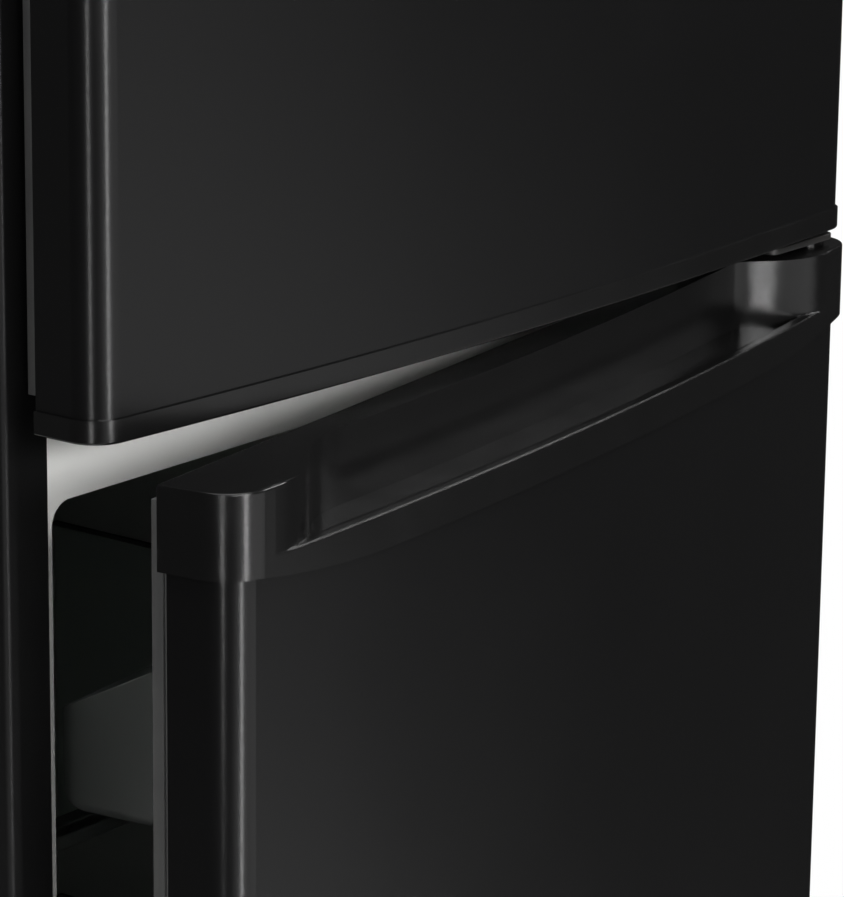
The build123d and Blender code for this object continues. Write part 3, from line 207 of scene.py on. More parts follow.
# Cabinet: one sheet of steel folded into two sides and a top with a narrow flange turned in at the front,
# powder painted satin black, as the base is. The back is a separate galvanised sheet, pop-riveted on.
PATTERN_LOW = 0.3
PATTERN_HIGH = 0.7


def finish(name, colour, roughness, metallic=0.0, specular=0.5):
    """A principled material with its plain values on the shader's own sockets."""
    material = bpy.data.materials.new(name)
    material.use_nodes = True
    shader = material.node_tree.nodes["Principled BSDF"]
    shader.inputs["Base Color"].default_value = (*colour, 1.0)
    shader.inputs["Roughness"].default_value = roughness
    shader.inputs["Metallic"].default_value = metallic
    shader.inputs["Specular IOR Level"].default_value = specular
    return material


def pattern(material, kind, scale, stretch=(1.0, 1.0, 1.0), detail=3.0):
    """A noise or cell pattern over the piece, in metres of the object itself; returns its value socket."""
    tree = material.node_tree
    spot = tree.nodes.new("ShaderNodeTexCoord")
    size = tree.nodes.new("ShaderNodeMapping")
    size.inputs["Scale"].default_value = stretch
    tree.links.new(spot.outputs["Object"], size.inputs["Vector"])
    if kind == "noise":
        texture = tree.nodes.new("ShaderNodeTexNoise")
        texture.inputs["Detail"].default_value = detail
        output = texture.outputs["Fac"]
    else:
        texture = tree.nodes.new("ShaderNodeTexVoronoi")
        output = texture.outputs["Color" if kind == "cell colour" else "Distance"]
    texture.inputs["Scale"].default_value = scale
    tree.links.new(size.outputs[0], texture.inputs["Vector"])
    return output


def vary_roughness(material, source, low, high):
    """Lets a pattern move the roughness between low and high."""
    tree = material.node_tree
    spread = tree.nodes.new("ShaderNodeMapRange")
    spread.inputs["From Min"].default_value = PATTERN_LOW
    spread.inputs["From Max"].default_value = PATTERN_HIGH
    spread.inputs["To Min"].default_value = low
    spread.inputs["To Max"].default_value = high
    tree.links.new(source, spread.inputs["Value"])
    tree.links.new(spread.outputs["Result"], tree.nodes["Principled BSDF"].inputs["Roughness"])


def tint(material, source, first, second):
    """Lets a pattern move the colour between two tones."""
    tree = material.node_tree
    ramp = tree.nodes.new("ShaderNodeValToRGB")
    stops = ramp.color_ramp.elements
    for stop, position, colour in zip(stops, (PATTERN_LOW, PATTERN_HIGH), (first, second)):
        stop.position = position
        stop.color = (*colour, 1.0)
    tree.links.new(source, ramp.inputs["Fac"])
    tree.links.new(ramp.outputs["Color"], tree.nodes["Principled BSDF"].inputs["Base Color"])


def relief(material, source, height):
    """Raises the surface by a pattern; height is in metres."""
    tree = material.node_tree
    bump = tree.nodes.new("ShaderNodeBump")
    bump.inputs["Distance"].default_value = height
    bump.inputs["Strength"].default_value = 1.0
    tree.links.new(source, bump.inputs["Height"])
    tree.links.new(bump.outputs["Normal"], tree.nodes["Principled BSDF"].inputs["Normal"])


def dress(material, *names):
    """Gives CAD nodes their finish."""
    for name in names:
        nodes[name].material_slots[0].material = material


def select_only(piece):
    """Makes one piece the only selected one, in object mode."""
    if bpy.context.object and bpy.context.object.mode == "EDIT":
        bpy.ops.object.mode_set(mode="OBJECT")
    bpy.ops.object.select_all(action="DESELECT")
    piece.select_set(True)
    bpy.context.view_layer.objects.active = piece


def rest_in_mesh(piece):
    """Puts a piece's place, turn and size into its mesh."""
    select_only(piece)
    bpy.ops.object.transform_apply(location=True, rotation=True, scale=True)


def copies_at(piece, name, places):
    """Copies a finished piece to each place, joins the copies into one object and removes the first one."""
    rest_in_mesh(piece)
    made = []
    for place in places:
        copy = bpy.data.objects.new(name, piece.data.copy())
        copy.matrix_world = place
        bpy.context.collection.objects.link(copy)
        made.append(copy)
    bpy.data.objects.remove(piece)
    bpy.ops.object.select_all(action="DESELECT")
    for copy in made:
        copy.select_set(True)
    bpy.context.view_layer.objects.active = made[0]
    bpy.ops.object.join()
    whole = bpy.context.object
    whole.name = name
    rest_in_mesh(whole)
    return whole


def settle(piece, material, body, slot, *stands_for):
    """Gives a finished piece its material and body, and hides the CAD nodes that it stands for; slot is not used.
    """
    piece.data.materials.clear()
    piece.data.materials.append(material)
    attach(piece, body)
    if stands_for:
        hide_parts(*stands_for)


BLACK = (0.0034, 0.0034, 0.0036)
BLACK_WARM = (0.0046, 0.0045, 0.0046)
black_powder = finish("black_powder_paint", BLACK, roughness=0.44, specular=0.24)
tint(black_powder, pattern(black_powder, "noise", scale=1400.0), BLACK, BLACK_WARM)
vary_roughness(black_powder, pattern(black_powder, "noise", scale=9.0), low=0.41, high=0.47)
relief(black_powder, pattern(black_powder, "noise", scale=900.0, detail=1.0), height=0.00004)
dress(black_powder, "cabinet_shell", "base_panel")

GALVANISED = (0.50, 0.51, 0.52)
GALVANISED_DARK = (0.45, 0.46, 0.475)
SPANGLE = 160.0
galvanised = finish("galvanised_sheet", GALVANISED, roughness=0.42, metallic=1.0)
tint(galvanised, pattern(galvanised, "cell colour", SPANGLE), GALVANISED_DARK, GALVANISED)
vary_roughness(galvanised, pattern(galvanised, "cell colour", SPANGLE), low=0.40, high=0.47)
dress(galvanised, "back_panel", "compressor_tray", "roller_forks")

RIVET_R = 0.0034
RIVET_FLAT = 0.45
RIVET_IN = 0.010
RIVET_ROWS = 8
SMOOTH_BELOW = radians(40)
panel_low, panel_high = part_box("back_panel")
rivet_gap = (panel_high.z - panel_low.z - 2 * RIVET_IN) / (RIVET_ROWS - 1)
bpy.ops.object.select_all(action="DESELECT")
bpy.ops.mesh.primitive_uv_sphere_add(segments=20, ring_count=12, radius=RIVET_R)
rivet = bpy.context.object
bpy.ops.object.mode_set(mode="EDIT")
bpy.ops.mesh.bisect(plane_co=(0, 0, 0), plane_no=(0, 1, 0), clear_inner=True, use_fill=True)
bpy.ops.mesh.select_all(action="SELECT")
bpy.ops.transform.resize(value=(1.0, RIVET_FLAT, 1.0))
bpy.ops.object.mode_set(mode="OBJECT")
bpy.ops.object.shade_smooth_by_angle(angle=SMOOTH_BELOW)
rivet_places = []
for row in range(RIVET_ROWS):
    for rivet_x in (panel_low.x + RIVET_IN, panel_high.x - RIVET_IN):
        rivet_z = panel_low.z + RIVET_IN + row * rivet_gap
        rivet_places.append(Matrix.Translation((rivet_x, panel_high.y, rivet_z)))
back_rivets = copies_at(rivet, "back_rivets", rivet_places)
settle(back_rivets, galvanised, "cabinet", "grey_steel")

# Liners and the strip between the compartments: sheets of white polystyrene drawn over a mould while hot,
# so they are smooth, faintly uneven and satin. The strip is a pressed cover over the dividing wall.
WHITE = (0.76, 0.76, 0.74)
WHITE_SHADE = (0.73, 0.73, 0.71)


def drawn_sheet(name, shade, pale):
    """White sheet drawn over a mould, with slow changes of tone, gloss and level."""
    sheet = finish(name, pale, roughness=0.38)
    tint(sheet, pattern(sheet, "noise", scale=6.0), shade, pale)
    vary_roughness(sheet, pattern(sheet, "noise", scale=30.0), low=0.33, high=0.44)
    relief(sheet, pattern(sheet, "noise", scale=55.0, detail=1.0), height=0.00006)
    return sheet


white_sheet = drawn_sheet("white_polystyrene", WHITE_SHADE, WHITE)
dress(white_sheet, "mullion_cover", "freezer_liner", "freezer_shelf", "control_housing")
dress(white_sheet, "drain_tube", "switch_plunger")

# Lower compartment's liner: the same sheet, with painted shade on its front rim, a dull grey down the sides
# and below. Along the top, by the strip, it stays pale.
RIM_PAINTED_SHADE = (0.27, 0.27, 0.26, 1.0)
RIM_DEPTH = 0.002
RIM_PALE = 0.010
RIM_FADE = 0.014


def object_place(material):
    """Sockets with a point's place on the object, in metres along X, Y and Z."""
    tree = material.node_tree
    spot = tree.nodes.new("ShaderNodeTexCoord")
    axes = tree.nodes.new("ShaderNodeSeparateXYZ")
    tree.links.new(spot.outputs["Object"], axes.inputs[0])
    return axes.outputs


liner_low, liner_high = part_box("fridge_liner")
liner_sheet = white_sheet.copy()
liner_sheet.name = "white_sheet_painted_rim_shade"
tree = liner_sheet.node_tree
liner_place = object_place(liner_sheet)
# Painted shade: the rim's front face is mixed towards grey, except in a band along the top.
at_rim = tree.nodes.new("ShaderNodeMath")
at_rim.operation = "LESS_THAN"
at_rim.inputs[1].default_value = liner_low.y + RIM_DEPTH
tree.links.new(liner_place["Y"], at_rim.inputs[0])
below_strip = tree.nodes.new("ShaderNodeMapRange")
below_strip.inputs["From Min"].default_value = liner_high.z - RIM_PALE
below_strip.inputs["From Max"].default_value = liner_high.z - RIM_PALE - RIM_FADE
tree.links.new(liner_place["Z"], below_strip.inputs["Value"])
painted_shade = tree.nodes.new("ShaderNodeMath")
painted_shade.operation = "MULTIPLY"
tree.links.new(at_rim.outputs[0], painted_shade.inputs[0])
tree.links.new(below_strip.outputs["Result"], painted_shade.inputs[1])
rim_shade_mix = tree.nodes.new("ShaderNodeMixRGB")
rim_shade_mix.inputs["Color2"].default_value = RIM_PAINTED_SHADE
liner_colour = tree.nodes["Principled BSDF"].inputs["Base Color"]
tree.links.new(painted_shade.outputs[0], rim_shade_mix.inputs["Fac"])
tree.links.new(liner_colour.links[0].from_socket, rim_shade_mix.inputs["Color1"])
tree.links.new(rim_shade_mix.outputs["Color"], liner_colour)
dress(liner_sheet, "fridge_liner")

# Foam: poured between liner and steel as a liquid, where it swells, sets and glues the two together.
# It fills the walls and the doors and never shows.
FOAM = (0.78, 0.68, 0.38)
FOAM_PALE = (0.86, 0.78, 0.52)
foam = finish("poured_foam", FOAM, roughness=0.9)
tint(foam, pattern(foam, "cells", scale=600.0), FOAM, FOAM_PALE)
dress(foam, "insulation_foam", "freezer_door_foam", "fridge_door_foam")

# Cold plates: two aluminium sheets rolled together, with the coolant's channel blown up between them.
# The channel stands out as a winding bead on the plate behind the shelves.
ALUMINIUM = (0.72, 0.73, 0.74)
ALUMINIUM_DARK = (0.62, 0.63, 0.65)
ROLLED = (1.0, 1.0, 40.0)
ROLL_MARKS = 40.0
CHANNEL_R = 0.0045
CHANNEL_RISE = 0.25
CHANNEL_RUNS = 8
CHANNEL_IN = 0.030
CHANNEL_STEPS = 3
CHANNEL_SMOOTH_BELOW = radians(50)
TURN_STEPS = 10
aluminium = finish("rolled_aluminium", ALUMINIUM, roughness=0.38, metallic=1.0)
tint(aluminium, pattern(aluminium, "noise", ROLL_MARKS, stretch=ROLLED), ALUMINIUM_DARK, ALUMINIUM)
vary_roughness(aluminium, pattern(aluminium, "noise", ROLL_MARKS, stretch=ROLLED), low=0.30, high=0.46)
dress(aluminium, "freezer_evaporator", "fridge_cold_plate")

plate_low, plate_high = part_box("fridge_cold_plate")
run_gap = (plate_high.z - plate_low.z - 2 * CHANNEL_IN) / (CHANNEL_RUNS - 1)
turn_r = run_gap / 2
run_end = plate_high.x - CHANNEL_IN - turn_r
channel_points = []
for run in range(CHANNEL_RUNS):
    side = 1 if run % 2 == 0 else -1
    level = plate_low.z + CHANNEL_IN + run * run_gap
    channel_points.append((-side * run_end, 0.0, level))
    if run < CHANNEL_RUNS - 1:
        for step in range(TURN_STEPS):
            angle = pi * step / TURN_STEPS - pi / 2
            turn_x = side * (run_end + turn_r * cos(angle))
            channel_points.append((turn_x, 0.0, level + turn_r * (1 + sin(angle))))
    else:
        channel_points.append((side * run_end, 0.0, level))
channel_curve = bpy.data.curves.new("cold_plate_channel", "CURVE")
channel_curve.dimensions = "3D"
channel_curve.bevel_depth = CHANNEL_R
channel_curve.bevel_resolution = CHANNEL_STEPS
channel_curve.use_fill_caps = True
channel_line = channel_curve.splines.new("POLY")
channel_line.points.add(len(channel_points) - 1)
for point, place in zip(channel_line.points, channel_points):
    point.co = (*place, 1.0)
channel = bpy.data.objects.new("cold_plate_channel", channel_curve)
bpy.context.collection.objects.link(channel)
select_only(channel)
bpy.ops.object.convert(target="MESH")
channel = bpy.context.object
channel.scale = (1.0, CHANNEL_RISE, 1.0)
channel.location = (0.0, plate_low.y, 0.0)
rest_in_mesh(channel)
bpy.ops.object.shade_smooth_by_angle(angle=CHANNEL_SMOOTH_BELOW)
settle(channel, aluminium, "cabinet", "aluminium")

# Shelves: tempered float glass with a green edge, lying on ledges of the liner, each with a moulded trim
# pushed onto its front edge.
GLASS_GREEN = (0.86, 0.95, 0.91)
GLASS_IOR = 1.52


def let_light_through(material, share, ior):
    """Makes a finish pass a share of the light, bent by its index of refraction."""
    shader = material.node_tree.nodes["Principled BSDF"]
    shader.inputs["Transmission Weight"].default_value = share
    shader.inputs["IOR"].default_value = ior


shelf_glass = finish("tempered_glass", GLASS_GREEN, roughness=0.03)
let_light_through(shelf_glass, 1.0, GLASS_IOR)
vary_roughness(shelf_glass, pattern(shelf_glass, "noise", scale=14.0), low=0.0, high=0.06)
dress(shelf_glass, "upper_shelf", "lower_shelf", "crisper_cover")

# Crisper, door bins and the shelves' trims: injection-moulded polystyrene, frosted by the mould so that light
# comes through softly, with rims and corners rounded so that they leave the mould.
FROST = (0.74, 0.77, 0.75)
FROST_SHADE = (0.67, 0.70, 0.68)
FROST_THROUGH = 0.985
FROST_IOR = 1.49
BIN_EDGE = 0.0006
MERGE = 0.00001
SAME_PLANE = radians(0.3)
SHARP = radians(30)
EDGE_STEPS = 3
record = frame["record"]
body_of = {node: body for body, members in record["behaviour"]["bodies"].items() for node in members}
slot_of = {row["node"]: row["material_slot"] for row in record["subparts"]}


def add_modifier(piece, kind, **settings):
    """Adds a modifier with its settings and applies it."""
    select_only(piece)
    modifier = piece.modifiers.new(kind.lower(), kind)
    for key, value in settings.items():
        setattr(modifier, key, value)
    bpy.ops.object.modifier_apply(modifier=modifier.name)


def rounded(node, material, width, sharp=SHARP):
    """A copy of a CAD piece with its sharp edges rounded, which stands in the piece's place."""
    piece = bpy.data.objects.new(f"{node}_rounded", nodes[node].data.copy())
    bpy.context.collection.objects.link(piece)
    select_only(piece)
    bpy.ops.mesh.customdata_custom_splitnormals_clear()
    bpy.ops.object.mode_set(mode="EDIT")
    bpy.ops.mesh.select_all(action="SELECT")
    bpy.ops.mesh.remove_doubles(threshold=MERGE)
    bpy.ops.mesh.dissolve_limited(angle_limit=SAME_PLANE)
    bpy.ops.object.mode_set(mode="OBJECT")
    add_modifier(
        piece,
        "BEVEL",
        width=width,
        segments=EDGE_STEPS,
        limit_method="ANGLE",
        angle_limit=sharp,
        use_clamp_overlap=False,
    )
    bpy.ops.object.shade_smooth_by_angle(angle=sharp)
    settle(piece, material, body_of[node], slot_of[node], node)


frosted = finish("frosted_polystyrene", FROST, roughness=0.34)
let_light_through(frosted, FROST_THROUGH, FROST_IOR)
tint(frosted, pattern(frosted, "noise", scale=12.0), FROST_SHADE, FROST)
relief(frosted, pattern(frosted, "noise", scale=1800.0, detail=1.0), height=0.00005)
dress(frosted, "shelf_trims")
for bin_name in ("upper_door_bin", "middle_door_bin", "bottle_bin", "freezer_door_bin", "crisper_drawer"):
    rounded(bin_name, frosted, BIN_EDGE)

# Control housing: a white moulding screwed to the ceiling, with the lamp behind a ribbed frosted lens at the
# left, the temperature knob with its ring of dots in the middle and the door switch on an arm at the right.
WHITE_GLOSS = (0.82, 0.82, 0.81)
WHITE_GLOSS_SHADE = (0.78, 0.78, 0.77)
KNOB_EDGE = 0.0010
joint_of = {joint["name"]: joint for joint in frame["joints"]}
white_moulding = finish("white_moulding", WHITE_GLOSS, roughness=0.28)
tint(white_moulding, pattern(white_moulding, "noise", scale=18.0), WHITE_GLOSS_SHADE, WHITE_GLOSS)
vary_roughness(white_moulding, pattern(white_moulding, "noise", scale=60.0), low=0.24, high=0.34)
rounded("thermostat_knob", white_moulding, KNOB_EDGE)

DARK_DOT = (0.05, 0.05, 0.055)
DOT_R = 0.0011
DOT_T = 0.4 * DOT_R
DOT_EDGE = 0.15 * DOT_R
DOT_RING = 0.0205
DOTS = 7
dial_ink = finish("dial_dots", DARK_DOT, roughness=0.5)
vary_roughness(dial_ink, pattern(dial_ink, "noise", scale=300.0), low=0.42, high=0.58)
knob_turn = joint_of["thermostat_turn"]
knob_x, knob_y, knob_z = knob_turn["pos_m"]
dot_span = radians(knob_turn["range_deg"][1] - knob_turn["range_deg"][0])
bpy.ops.object.select_all(action="DESELECT")
bpy.ops.mesh.primitive_cylinder_add(vertices=20, radius=DOT_R, depth=DOT_T, rotation=(pi / 2, 0, 0))
dot = bpy.context.object
add_modifier(dot, "BEVEL", width=DOT_EDGE, segments=2, limit_method="ANGLE")
dot_places = []
for number in range(DOTS):
    angle = dot_span * (number / (DOTS - 1) - 1 / 2)
    dot_place = (knob_x + DOT_RING * sin(angle), knob_y, knob_z + DOT_RING * cos(angle))
    dot_places.append(Matrix.Translation(dot_place))
dial_dots = copies_at(dot, "dial_dots", dot_places)
settle(dial_dots, dial_ink, "cabinet", "black_plastic")

RIBS = 15
RIB_R = 0.0026
RIB_DEPTH = 0.5
RIB_SHARE = 0.96
RIB_EDGE = 0.2 * RIB_R
RIB_SHARP = radians(60)
dress(frosted, "lamp_cover")
lens_low, lens_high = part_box("lamp_cover")
rib_l = RIB_SHARE * (lens_high.y - lens_low.y)
rib_y = (lens_low.y + lens_high.y) / 2
rib_gap = (lens_high.x - lens_low.x - 2 * RIB_R) / (RIBS - 1)
bpy.ops.object.select_all(action="DESELECT")
bpy.ops.mesh.primitive_cylinder_add(vertices=24, radius=RIB_R, depth=rib_l, rotation=(pi / 2, 0, 0))
rib = bpy.context.object
rib.scale = (1.0, RIB_DEPTH, 1.0)
rest_in_mesh(rib)
add_modifier(rib, "BEVEL", width=RIB_EDGE, segments=2, limit_method="ANGLE", angle_limit=RIB_SHARP)
bpy.ops.object.shade_smooth_by_angle(angle=SMOOTH_BELOW)
rib_places = []
for number in range(RIBS):
    rib_x = lens_low.x + RIB_R + number * rib_gap
    rib_places.append(Matrix.Translation((rib_x, rib_y, lens_low.z)))
lens_ribs = copies_at(rib, "lamp_lens_ribs", rib_places)
settle(lens_ribs, frosted, "cabinet", "frosted_cover")

LAMP_CLEAR = (0.95, 0.95, 0.93)
LAMP_THROUGH = 0.9
LAMP_IOR = 1.5
lamp_glass = finish("lamp_glass", LAMP_CLEAR, roughness=0.05)
let_light_through(lamp_glass, LAMP_THROUGH, LAMP_IOR)
vary_roughness(lamp_glass, pattern(lamp_glass, "noise", scale=80.0), low=0.02, high=0.12)
dress(lamp_glass, "lamp")

# Hinges: pressed steel plates with riveted pins. The middle one, which shows between the doors, is painted
# black, the others are zinc plated. Each is held by pan-head screws with a cross recess.
ZINC = (0.60, 0.61, 0.63)
ZINC_DARK = (0.48, 0.49, 0.51)
ENAMEL = (0.012, 0.012, 0.012)
ENAMEL_DUSTY = (0.022, 0.021, 0.020)
PLATE_EDGE = 0.0005
zinc = finish("zinc_plate", ZINC, roughness=0.34, metallic=1.0)
tint(zinc, pattern(zinc, "noise", scale=160.0), ZINC_DARK, ZINC)
vary_roughness(zinc, pattern(zinc, "noise", scale=60.0), low=0.26, high=0.44)
enamel = finish("black_enamel", ENAMEL, roughness=0.26)
tint(enamel, pattern(enamel, "noise", scale=18.0), ENAMEL, ENAMEL_DUSTY)
vary_roughness(enamel, pattern(enamel, "noise", scale=30.0), low=0.22, high=0.40)
relief(enamel, pattern(enamel, "noise", scale=260.0), height=0.00006)
rounded("middle_hinge", enamel, PLATE_EDGE)
rounded("top_hinge", zinc, PLATE_EDGE)
rounded("bottom_hinge", zinc, PLATE_EDGE)

HEAD_R = 0.0045
HEAD_H = 0.0020
HEAD_EDGE = 0.0009
HEAD_STEPS = 4
HEAD_SHARP = radians(60)
HEAD_SMOOTH_BELOW = radians(35)
SHANK_R = 0.0025
RECESS_L = 0.0046
RECESS_W = 0.0011
RECESS_D = 0.0012
FACES_DOWN = -0.9
TAB_T = 0.0025
TAB_W = 0.064
PLATE_T = 0.0030
PIN_L = 0.0100
SCREW_SPREAD = Vector((0.054, 0.0115, 0.014))
TOP_SCREW_IN = 0.023
bpy.ops.object.select_all(action="DESELECT")
bpy.ops.mesh.primitive_cylinder_add(vertices=48, radius=HEAD_R, depth=HEAD_H, location=(0, 0, HEAD_H / 2))
screw = bpy.context.object
bpy.ops.object.mode_set(mode="EDIT")
bpy.ops.mesh.select_mode(type="FACE")
bpy.ops.mesh.select_all(action="DESELECT")
bpy.ops.object.mode_set(mode="OBJECT")
for face in screw.data.polygons:
    face.select = face.normal.z < FACES_DOWN
bpy.ops.object.mode_set(mode="EDIT")
bpy.ops.mesh.inset(thickness=HEAD_R - SHANK_R)
bpy.ops.mesh.extrude_region_move(TRANSFORM_OT_translate={"value": (0.0, 0.0, -TAB_T)})
bpy.ops.object.mode_set(mode="OBJECT")
rest_in_mesh(screw)
add_modifier(
    screw, "BEVEL", width=HEAD_EDGE, segments=HEAD_STEPS, limit_method="ANGLE", angle_limit=HEAD_SHARP
)
for quarter in (0.0, pi / 2):
    bpy.ops.object.select_all(action="DESELECT")
    bpy.ops.mesh.primitive_cube_add(size=1.0, location=(0, 0, HEAD_H), rotation=(0, 0, quarter))
    cutter = bpy.context.object
    cutter.scale = (RECESS_L, RECESS_W, 2 * RECESS_D)
    rest_in_mesh(cutter)
    add_modifier(screw, "BOOLEAN", operation="DIFFERENCE", object=cutter, solver="EXACT")
    bpy.data.objects.remove(cutter)
select_only(screw)
bpy.ops.object.shade_smooth_by_angle(angle=HEAD_SMOOTH_BELOW)
facing = Matrix.Rotation(pi / 2, 4, "X")
pin_x = joint_of["freezer_door_hinge"]["pos_m"][0]
top_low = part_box("top_hinge")[0]
middle_low, middle_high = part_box("middle_hinge")
bottom_low, bottom_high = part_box("bottom_hinge")
front_y = middle_high.y
screw_places = []
for row in (-1, 1):
    top_y = front_y + TOP_SCREW_IN + row * SCREW_SPREAD.y
    screw_places.append(Matrix.Translation((pin_x - TOP_SCREW_IN, top_y, top_low.z + PIN_L + PLATE_T)))
for column in (-1, 1):
    tab_x = middle_high.x - TAB_W / 2 + column * SCREW_SPREAD.x / 2
    levels = [(middle_low.z + middle_high.z + row * SCREW_SPREAD.z) / 2 for row in (-1, 1)]
    levels.append((bottom_low.z + bottom_high.z - PIN_L - PLATE_T) / 2)
    for level in levels:
        screw_places.append(Matrix.Translation((tab_x, front_y - TAB_T, level)) @ facing)
hinge_screws = copies_at(screw, "hinge_cross_screws", screw_places)
settle(hinge_screws, zinc, "cabinet", "zinc_steel", "hinge_screws")

# Door skins: thin steel bent to a bowed front with round corners, painted the same satin black as the cabinet
# with a finer, flatter film. They are crimped to the caps above and below.
door_paint = finish("black_door_paint", BLACK, roughness=0.24, specular=0.36)
tint(door_paint, pattern(door_paint, "noise", scale=1900.0), BLACK, BLACK_WARM)
vary_roughness(door_paint, pattern(door_paint, "noise", scale=7.0), low=0.22, high=0.26)
relief(door_paint, pattern(door_paint, "noise", scale=240.0, detail=1.0), height=0.000004)
dress(door_paint, "freezer_door_skin", "fridge_door_skin")

# Door caps and the cover of the top hinge: black polypropylene mouldings with a fine spark grain from the
# mould, pushed into the ends of the skins. The hinge's cover snaps over the plate.
PLASTIC = (0.0036, 0.0036, 0.0037)
PLASTIC_WARM = (0.0048, 0.0047, 0.0047)
black_plastic = finish("black_grained_plastic", PLASTIC, roughness=0.22, specular=0.48)
tint(black_plastic, pattern(black_plastic, "noise", scale=1500.0), PLASTIC, PLASTIC_WARM)
vary_roughness(black_plastic, pattern(black_plastic, "noise", scale=40.0), low=0.20, high=0.25)
relief(black_plastic, pattern(black_plastic, "noise", scale=2600.0, detail=2.0), height=0.00002)
dress(black_plastic, "freezer_door_bottom_cap", "freezer_door_top_cap", "fridge_door_bottom_cap")
dress(black_plastic, "top_hinge_cover")

# Handle cap: a moulding of the same plastic along the top of the lower door, with a finger scoop behind a
# lip. The lip's edge is rounded where the hand takes hold, which the shading gives at the lip's level alone.
LIP_RISE = 0.0155
LIP_REACH = 0.0022
LIP_EDGE = 0.0020
LIP_SAMPLES = 6
# A Mix node's vector sockets share their names with its other sockets, so they go by number.
MIX_FIRST = 4
MIX_SECOND = 5
MIX_RESULT = 1
handle_plastic = black_plastic.copy()
handle_plastic.name = "black_handle_plastic"
tree = handle_plastic.node_tree
soft_edge = tree.nodes.new("ShaderNodeBevel")
soft_edge.samples = LIP_SAMPLES
soft_edge.inputs["Radius"].default_value = LIP_EDGE
on_lip = tree.nodes.new("ShaderNodeMath")
on_lip.operation = "COMPARE"
on_lip.inputs[1].default_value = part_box("fridge_door_handle_cap")[0].z + LIP_RISE
on_lip.inputs[2].default_value = LIP_REACH
tree.links.new(object_place(handle_plastic)["Z"], on_lip.inputs[0])
as_moulded = tree.nodes.new("ShaderNodeNewGeometry")
lip_normal = tree.nodes.new("ShaderNodeMix")
lip_normal.data_type = "VECTOR"
tree.links.new(on_lip.outputs[0], lip_normal.inputs["Factor"])
tree.links.new(as_moulded.outputs["Normal"], lip_normal.inputs[MIX_FIRST])
tree.links.new(soft_edge.outputs["Normal"], lip_normal.inputs[MIX_SECOND])
tree.links.new(lip_normal.outputs[MIX_RESULT], tree.nodes["Bump"].inputs["Normal"])
dress(handle_plastic, "fridge_door_handle_cap")

# Door liners: white polystyrene sheets drawn with ribs that hold the bins, clipped under the skin's return.
# Their sheet is thinner. Its white is a darker copy of the compartments', painted shade that keeps them from
# burning out under the lamps.
# Painted shade: the door liners' white is set darker than the compartments' white sheet.
DOOR_WHITE_SHADED = (0.60, 0.60, 0.585)
DOOR_WHITE_SHADED_DARK = (0.57, 0.57, 0.555)
shaded_door_sheet = drawn_sheet("white_door_sheet_painted_shade", DOOR_WHITE_SHADED_DARK, DOOR_WHITE_SHADED)
dress(shaded_door_sheet, "freezer_door_liner", "fridge_door_liner")

# Gaskets: a grey vinyl extrusion welded into a ring at its mitred corners, with a flange that covers the
# liner's edge, a soft bellows and a bulb that holds the magnet strip. The section is given by its distance
# in from the ring's outer edge and its depth behind the door liner's front.
GASKET_OUT = 0.0120
GASKET_SECTION = (
    (0.0036, 0.0002),
    (0.0036, 0.0031),
    (0.0148, 0.0031),
    (0.0148, 0.0050),
    (0.0128, 0.0064),
    (0.0128, 0.0074),
    (0.0154, 0.0086),
    (0.0118, 0.0096),
    (0.0118, 0.0150),
    (0.0262, 0.0150),
    (0.0262, 0.0096),
    (0.0226, 0.0086),
    (0.0252, 0.0074),
    (0.0252, 0.0064),
    (0.0232, 0.0050),
    (0.0232, 0.0031),
    (0.0262, 0.0031),
    (0.0262, 0.0021),
    (0.0041, 0.0021),
    (0.0041, 0.0002),
)
GASKET_ROUND = 0.0004
GASKET_SHARP = radians(25)
GASKET_SMOOTH_BELOW = radians(50)
RING_CORNERS = ((0, 0), (1, 0), (1, 1), (0, 1))
VINYL = (0.085, 0.085, 0.086)
VINYL_PALE = (0.110, 0.110, 0.108)
vinyl = finish("grey_vinyl", VINYL, roughness=0.55)
tint(vinyl, pattern(vinyl, "noise", scale=25.0), VINYL, VINYL_PALE)
vary_roughness(vinyl, pattern(vinyl, "noise", scale=60.0), low=0.50, high=0.62)
relief(vinyl, pattern(vinyl, "noise", scale=900.0), height=0.00003)


def make_gasket(name, node):
    """Sets the section at the four mitred corners of a shut door and bridges them into a ring."""
    shut_low, shut_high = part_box("freezer_door_gasket")
    low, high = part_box(node)
    liner_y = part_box("freezer_door_liner")[0].y
    edges_x = (shut_low.x - GASKET_OUT, shut_high.x + GASKET_OUT)
    edges_z = (low.z - GASKET_OUT, high.z + GASKET_OUT)
    count = len(GASKET_SECTION)
    points = []
    lines = []
    for across, up in RING_CORNERS:
        start = len(points)
        for inset, depth in GASKET_SECTION:
            x = edges_x[across] + (inset if across == 0 else -inset)
            z = edges_z[up] + (inset if up == 0 else -inset)
            points.append((x, liner_y + depth, z))
        lines.extend((start + i, start + (i + 1) % count) for i in range(count))
    mesh = bpy.data.meshes.new(name)
    mesh.from_pydata(points, lines, [])
    ring = bpy.data.objects.new(name, mesh)
    bpy.context.collection.objects.link(ring)
    select_only(ring)
    bpy.ops.object.mode_set(mode="EDIT")
    bpy.ops.mesh.select_mode(type="EDGE")
    bpy.ops.mesh.select_all(action="SELECT")
    bpy.ops.mesh.bridge_edge_loops(type="CLOSED")
    bpy.ops.mesh.select_all(action="SELECT")
    bpy.ops.mesh.normals_make_consistent(inside=False)
    bpy.ops.mesh.select_mode(type="FACE")
    bpy.ops.object.mode_set(mode="OBJECT")
    add_modifier(
        ring, "BEVEL", width=GASKET_ROUND, segments=2, limit_method="ANGLE", angle_limit=GASKET_SHARP
    )
    bpy.ops.object.shade_smooth_by_angle(angle=GASKET_SMOOTH_BELOW)
    return ring


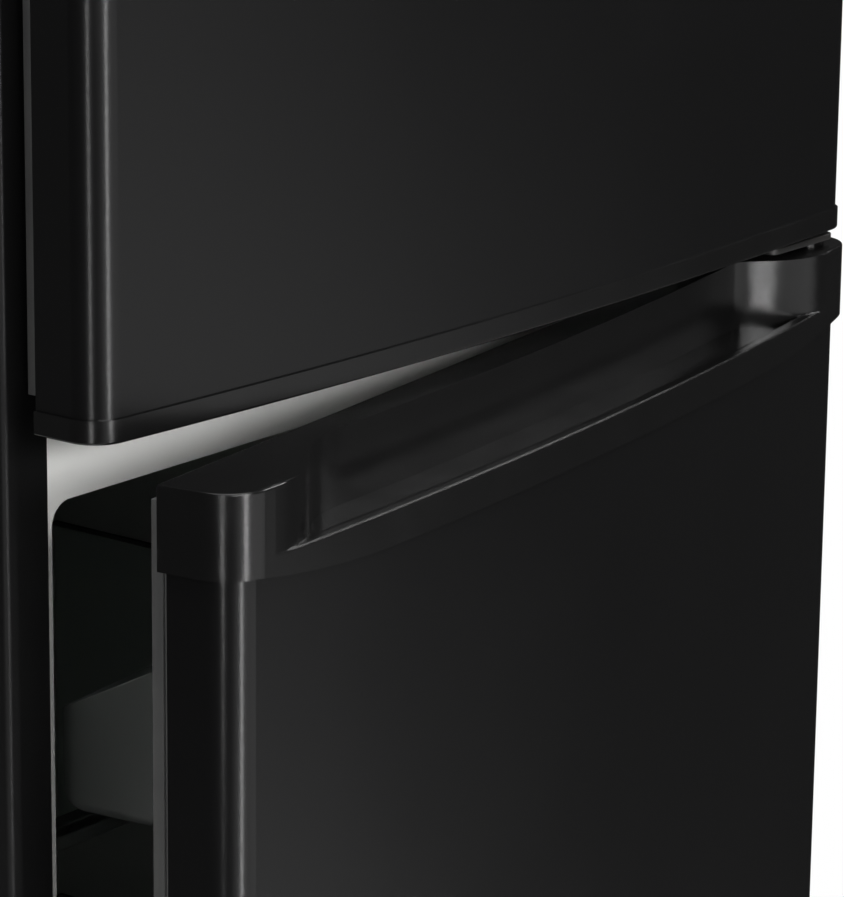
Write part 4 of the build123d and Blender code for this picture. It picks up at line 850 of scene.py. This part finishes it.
def swing_ajar(piece):
    """Turns a piece made for the shut lower door to where that door stands."""
    hinge = joint_of["fridge_door_hinge"]
    pin = Matrix.Translation((*hinge["pos_m"][:2], 0.0))
    ajar = Matrix.Rotation(-radians(hinge["range_deg"][0]), 4, "Z")
    piece.matrix_world = pin @ ajar @ pin.inverted()
    rest_in_mesh(piece)


freezer_gasket = make_gasket("freezer_gasket_ring", "freezer_door_gasket")
settle(freezer_gasket, vinyl, "freezer_door", "gasket", "freezer_door_gasket")
fridge_gasket = make_gasket("fridge_gasket_ring", "fridge_door_gasket")
swing_ajar(fridge_gasket)
settle(fridge_gasket, vinyl, "fridge_door", "gasket", "fridge_door_gasket")

# Base: a slotted black grille under the lower door, levelling feet screwed into plastic nuts, and two rollers
# on fixed axles at the back. All are black polypropylene.
FOOT_EDGE = 0.0012
dress(black_plastic, "toe_grille", "foot_inserts")
for base_name in ("left_foot", "right_foot", "left_roller", "right_roller"):
    rounded(base_name, black_plastic, FOOT_EDGE)

# Compressor: a steel pot in black stove enamel, with its start relay at one side, an evaporating pan on top
# and rubber grommets under its feet, which stand on the tray.
POT_EDGE = 0.0010
RELAY_EDGE = 0.0008
PAN_EDGE = 0.0007
POT_SHARP = radians(40)
RUBBER = (0.018, 0.018, 0.018)
rounded("compressor", enamel, POT_EDGE, POT_SHARP)
rounded("start_relay", black_plastic, RELAY_EDGE, POT_SHARP)
rounded("drip_pan", black_plastic, PAN_EDGE, POT_SHARP)
rubber = finish("black_rubber", RUBBER, roughness=0.75)
relief(rubber, pattern(rubber, "noise", scale=700.0), height=0.00005)
vary_roughness(rubber, pattern(rubber, "noise", scale=120.0), low=0.68, high=0.82)
dress(rubber, "compressor_grommets")

# Condenser: one steel tube bent to and fro, with wires spot-welded across it, enamelled black and held off
# the back by plastic clips. Copper pipes join it to the drier and the compressor.
COPPER = (0.72, 0.38, 0.24)
COPPER_DULL = (0.36, 0.17, 0.10)
dress(enamel, "condenser_tube", "condenser_grid")
dress(black_plastic, "condenser_clips")
copper = finish("drawn_copper", COPPER, roughness=0.3, metallic=1.0)
tint(copper, pattern(copper, "noise", scale=45.0), COPPER_DULL, COPPER)
vary_roughness(copper, pattern(copper, "noise", scale=70.0), low=0.22, high=0.50)
dress(copper, "filter_drier", "refrigerant_pipes")
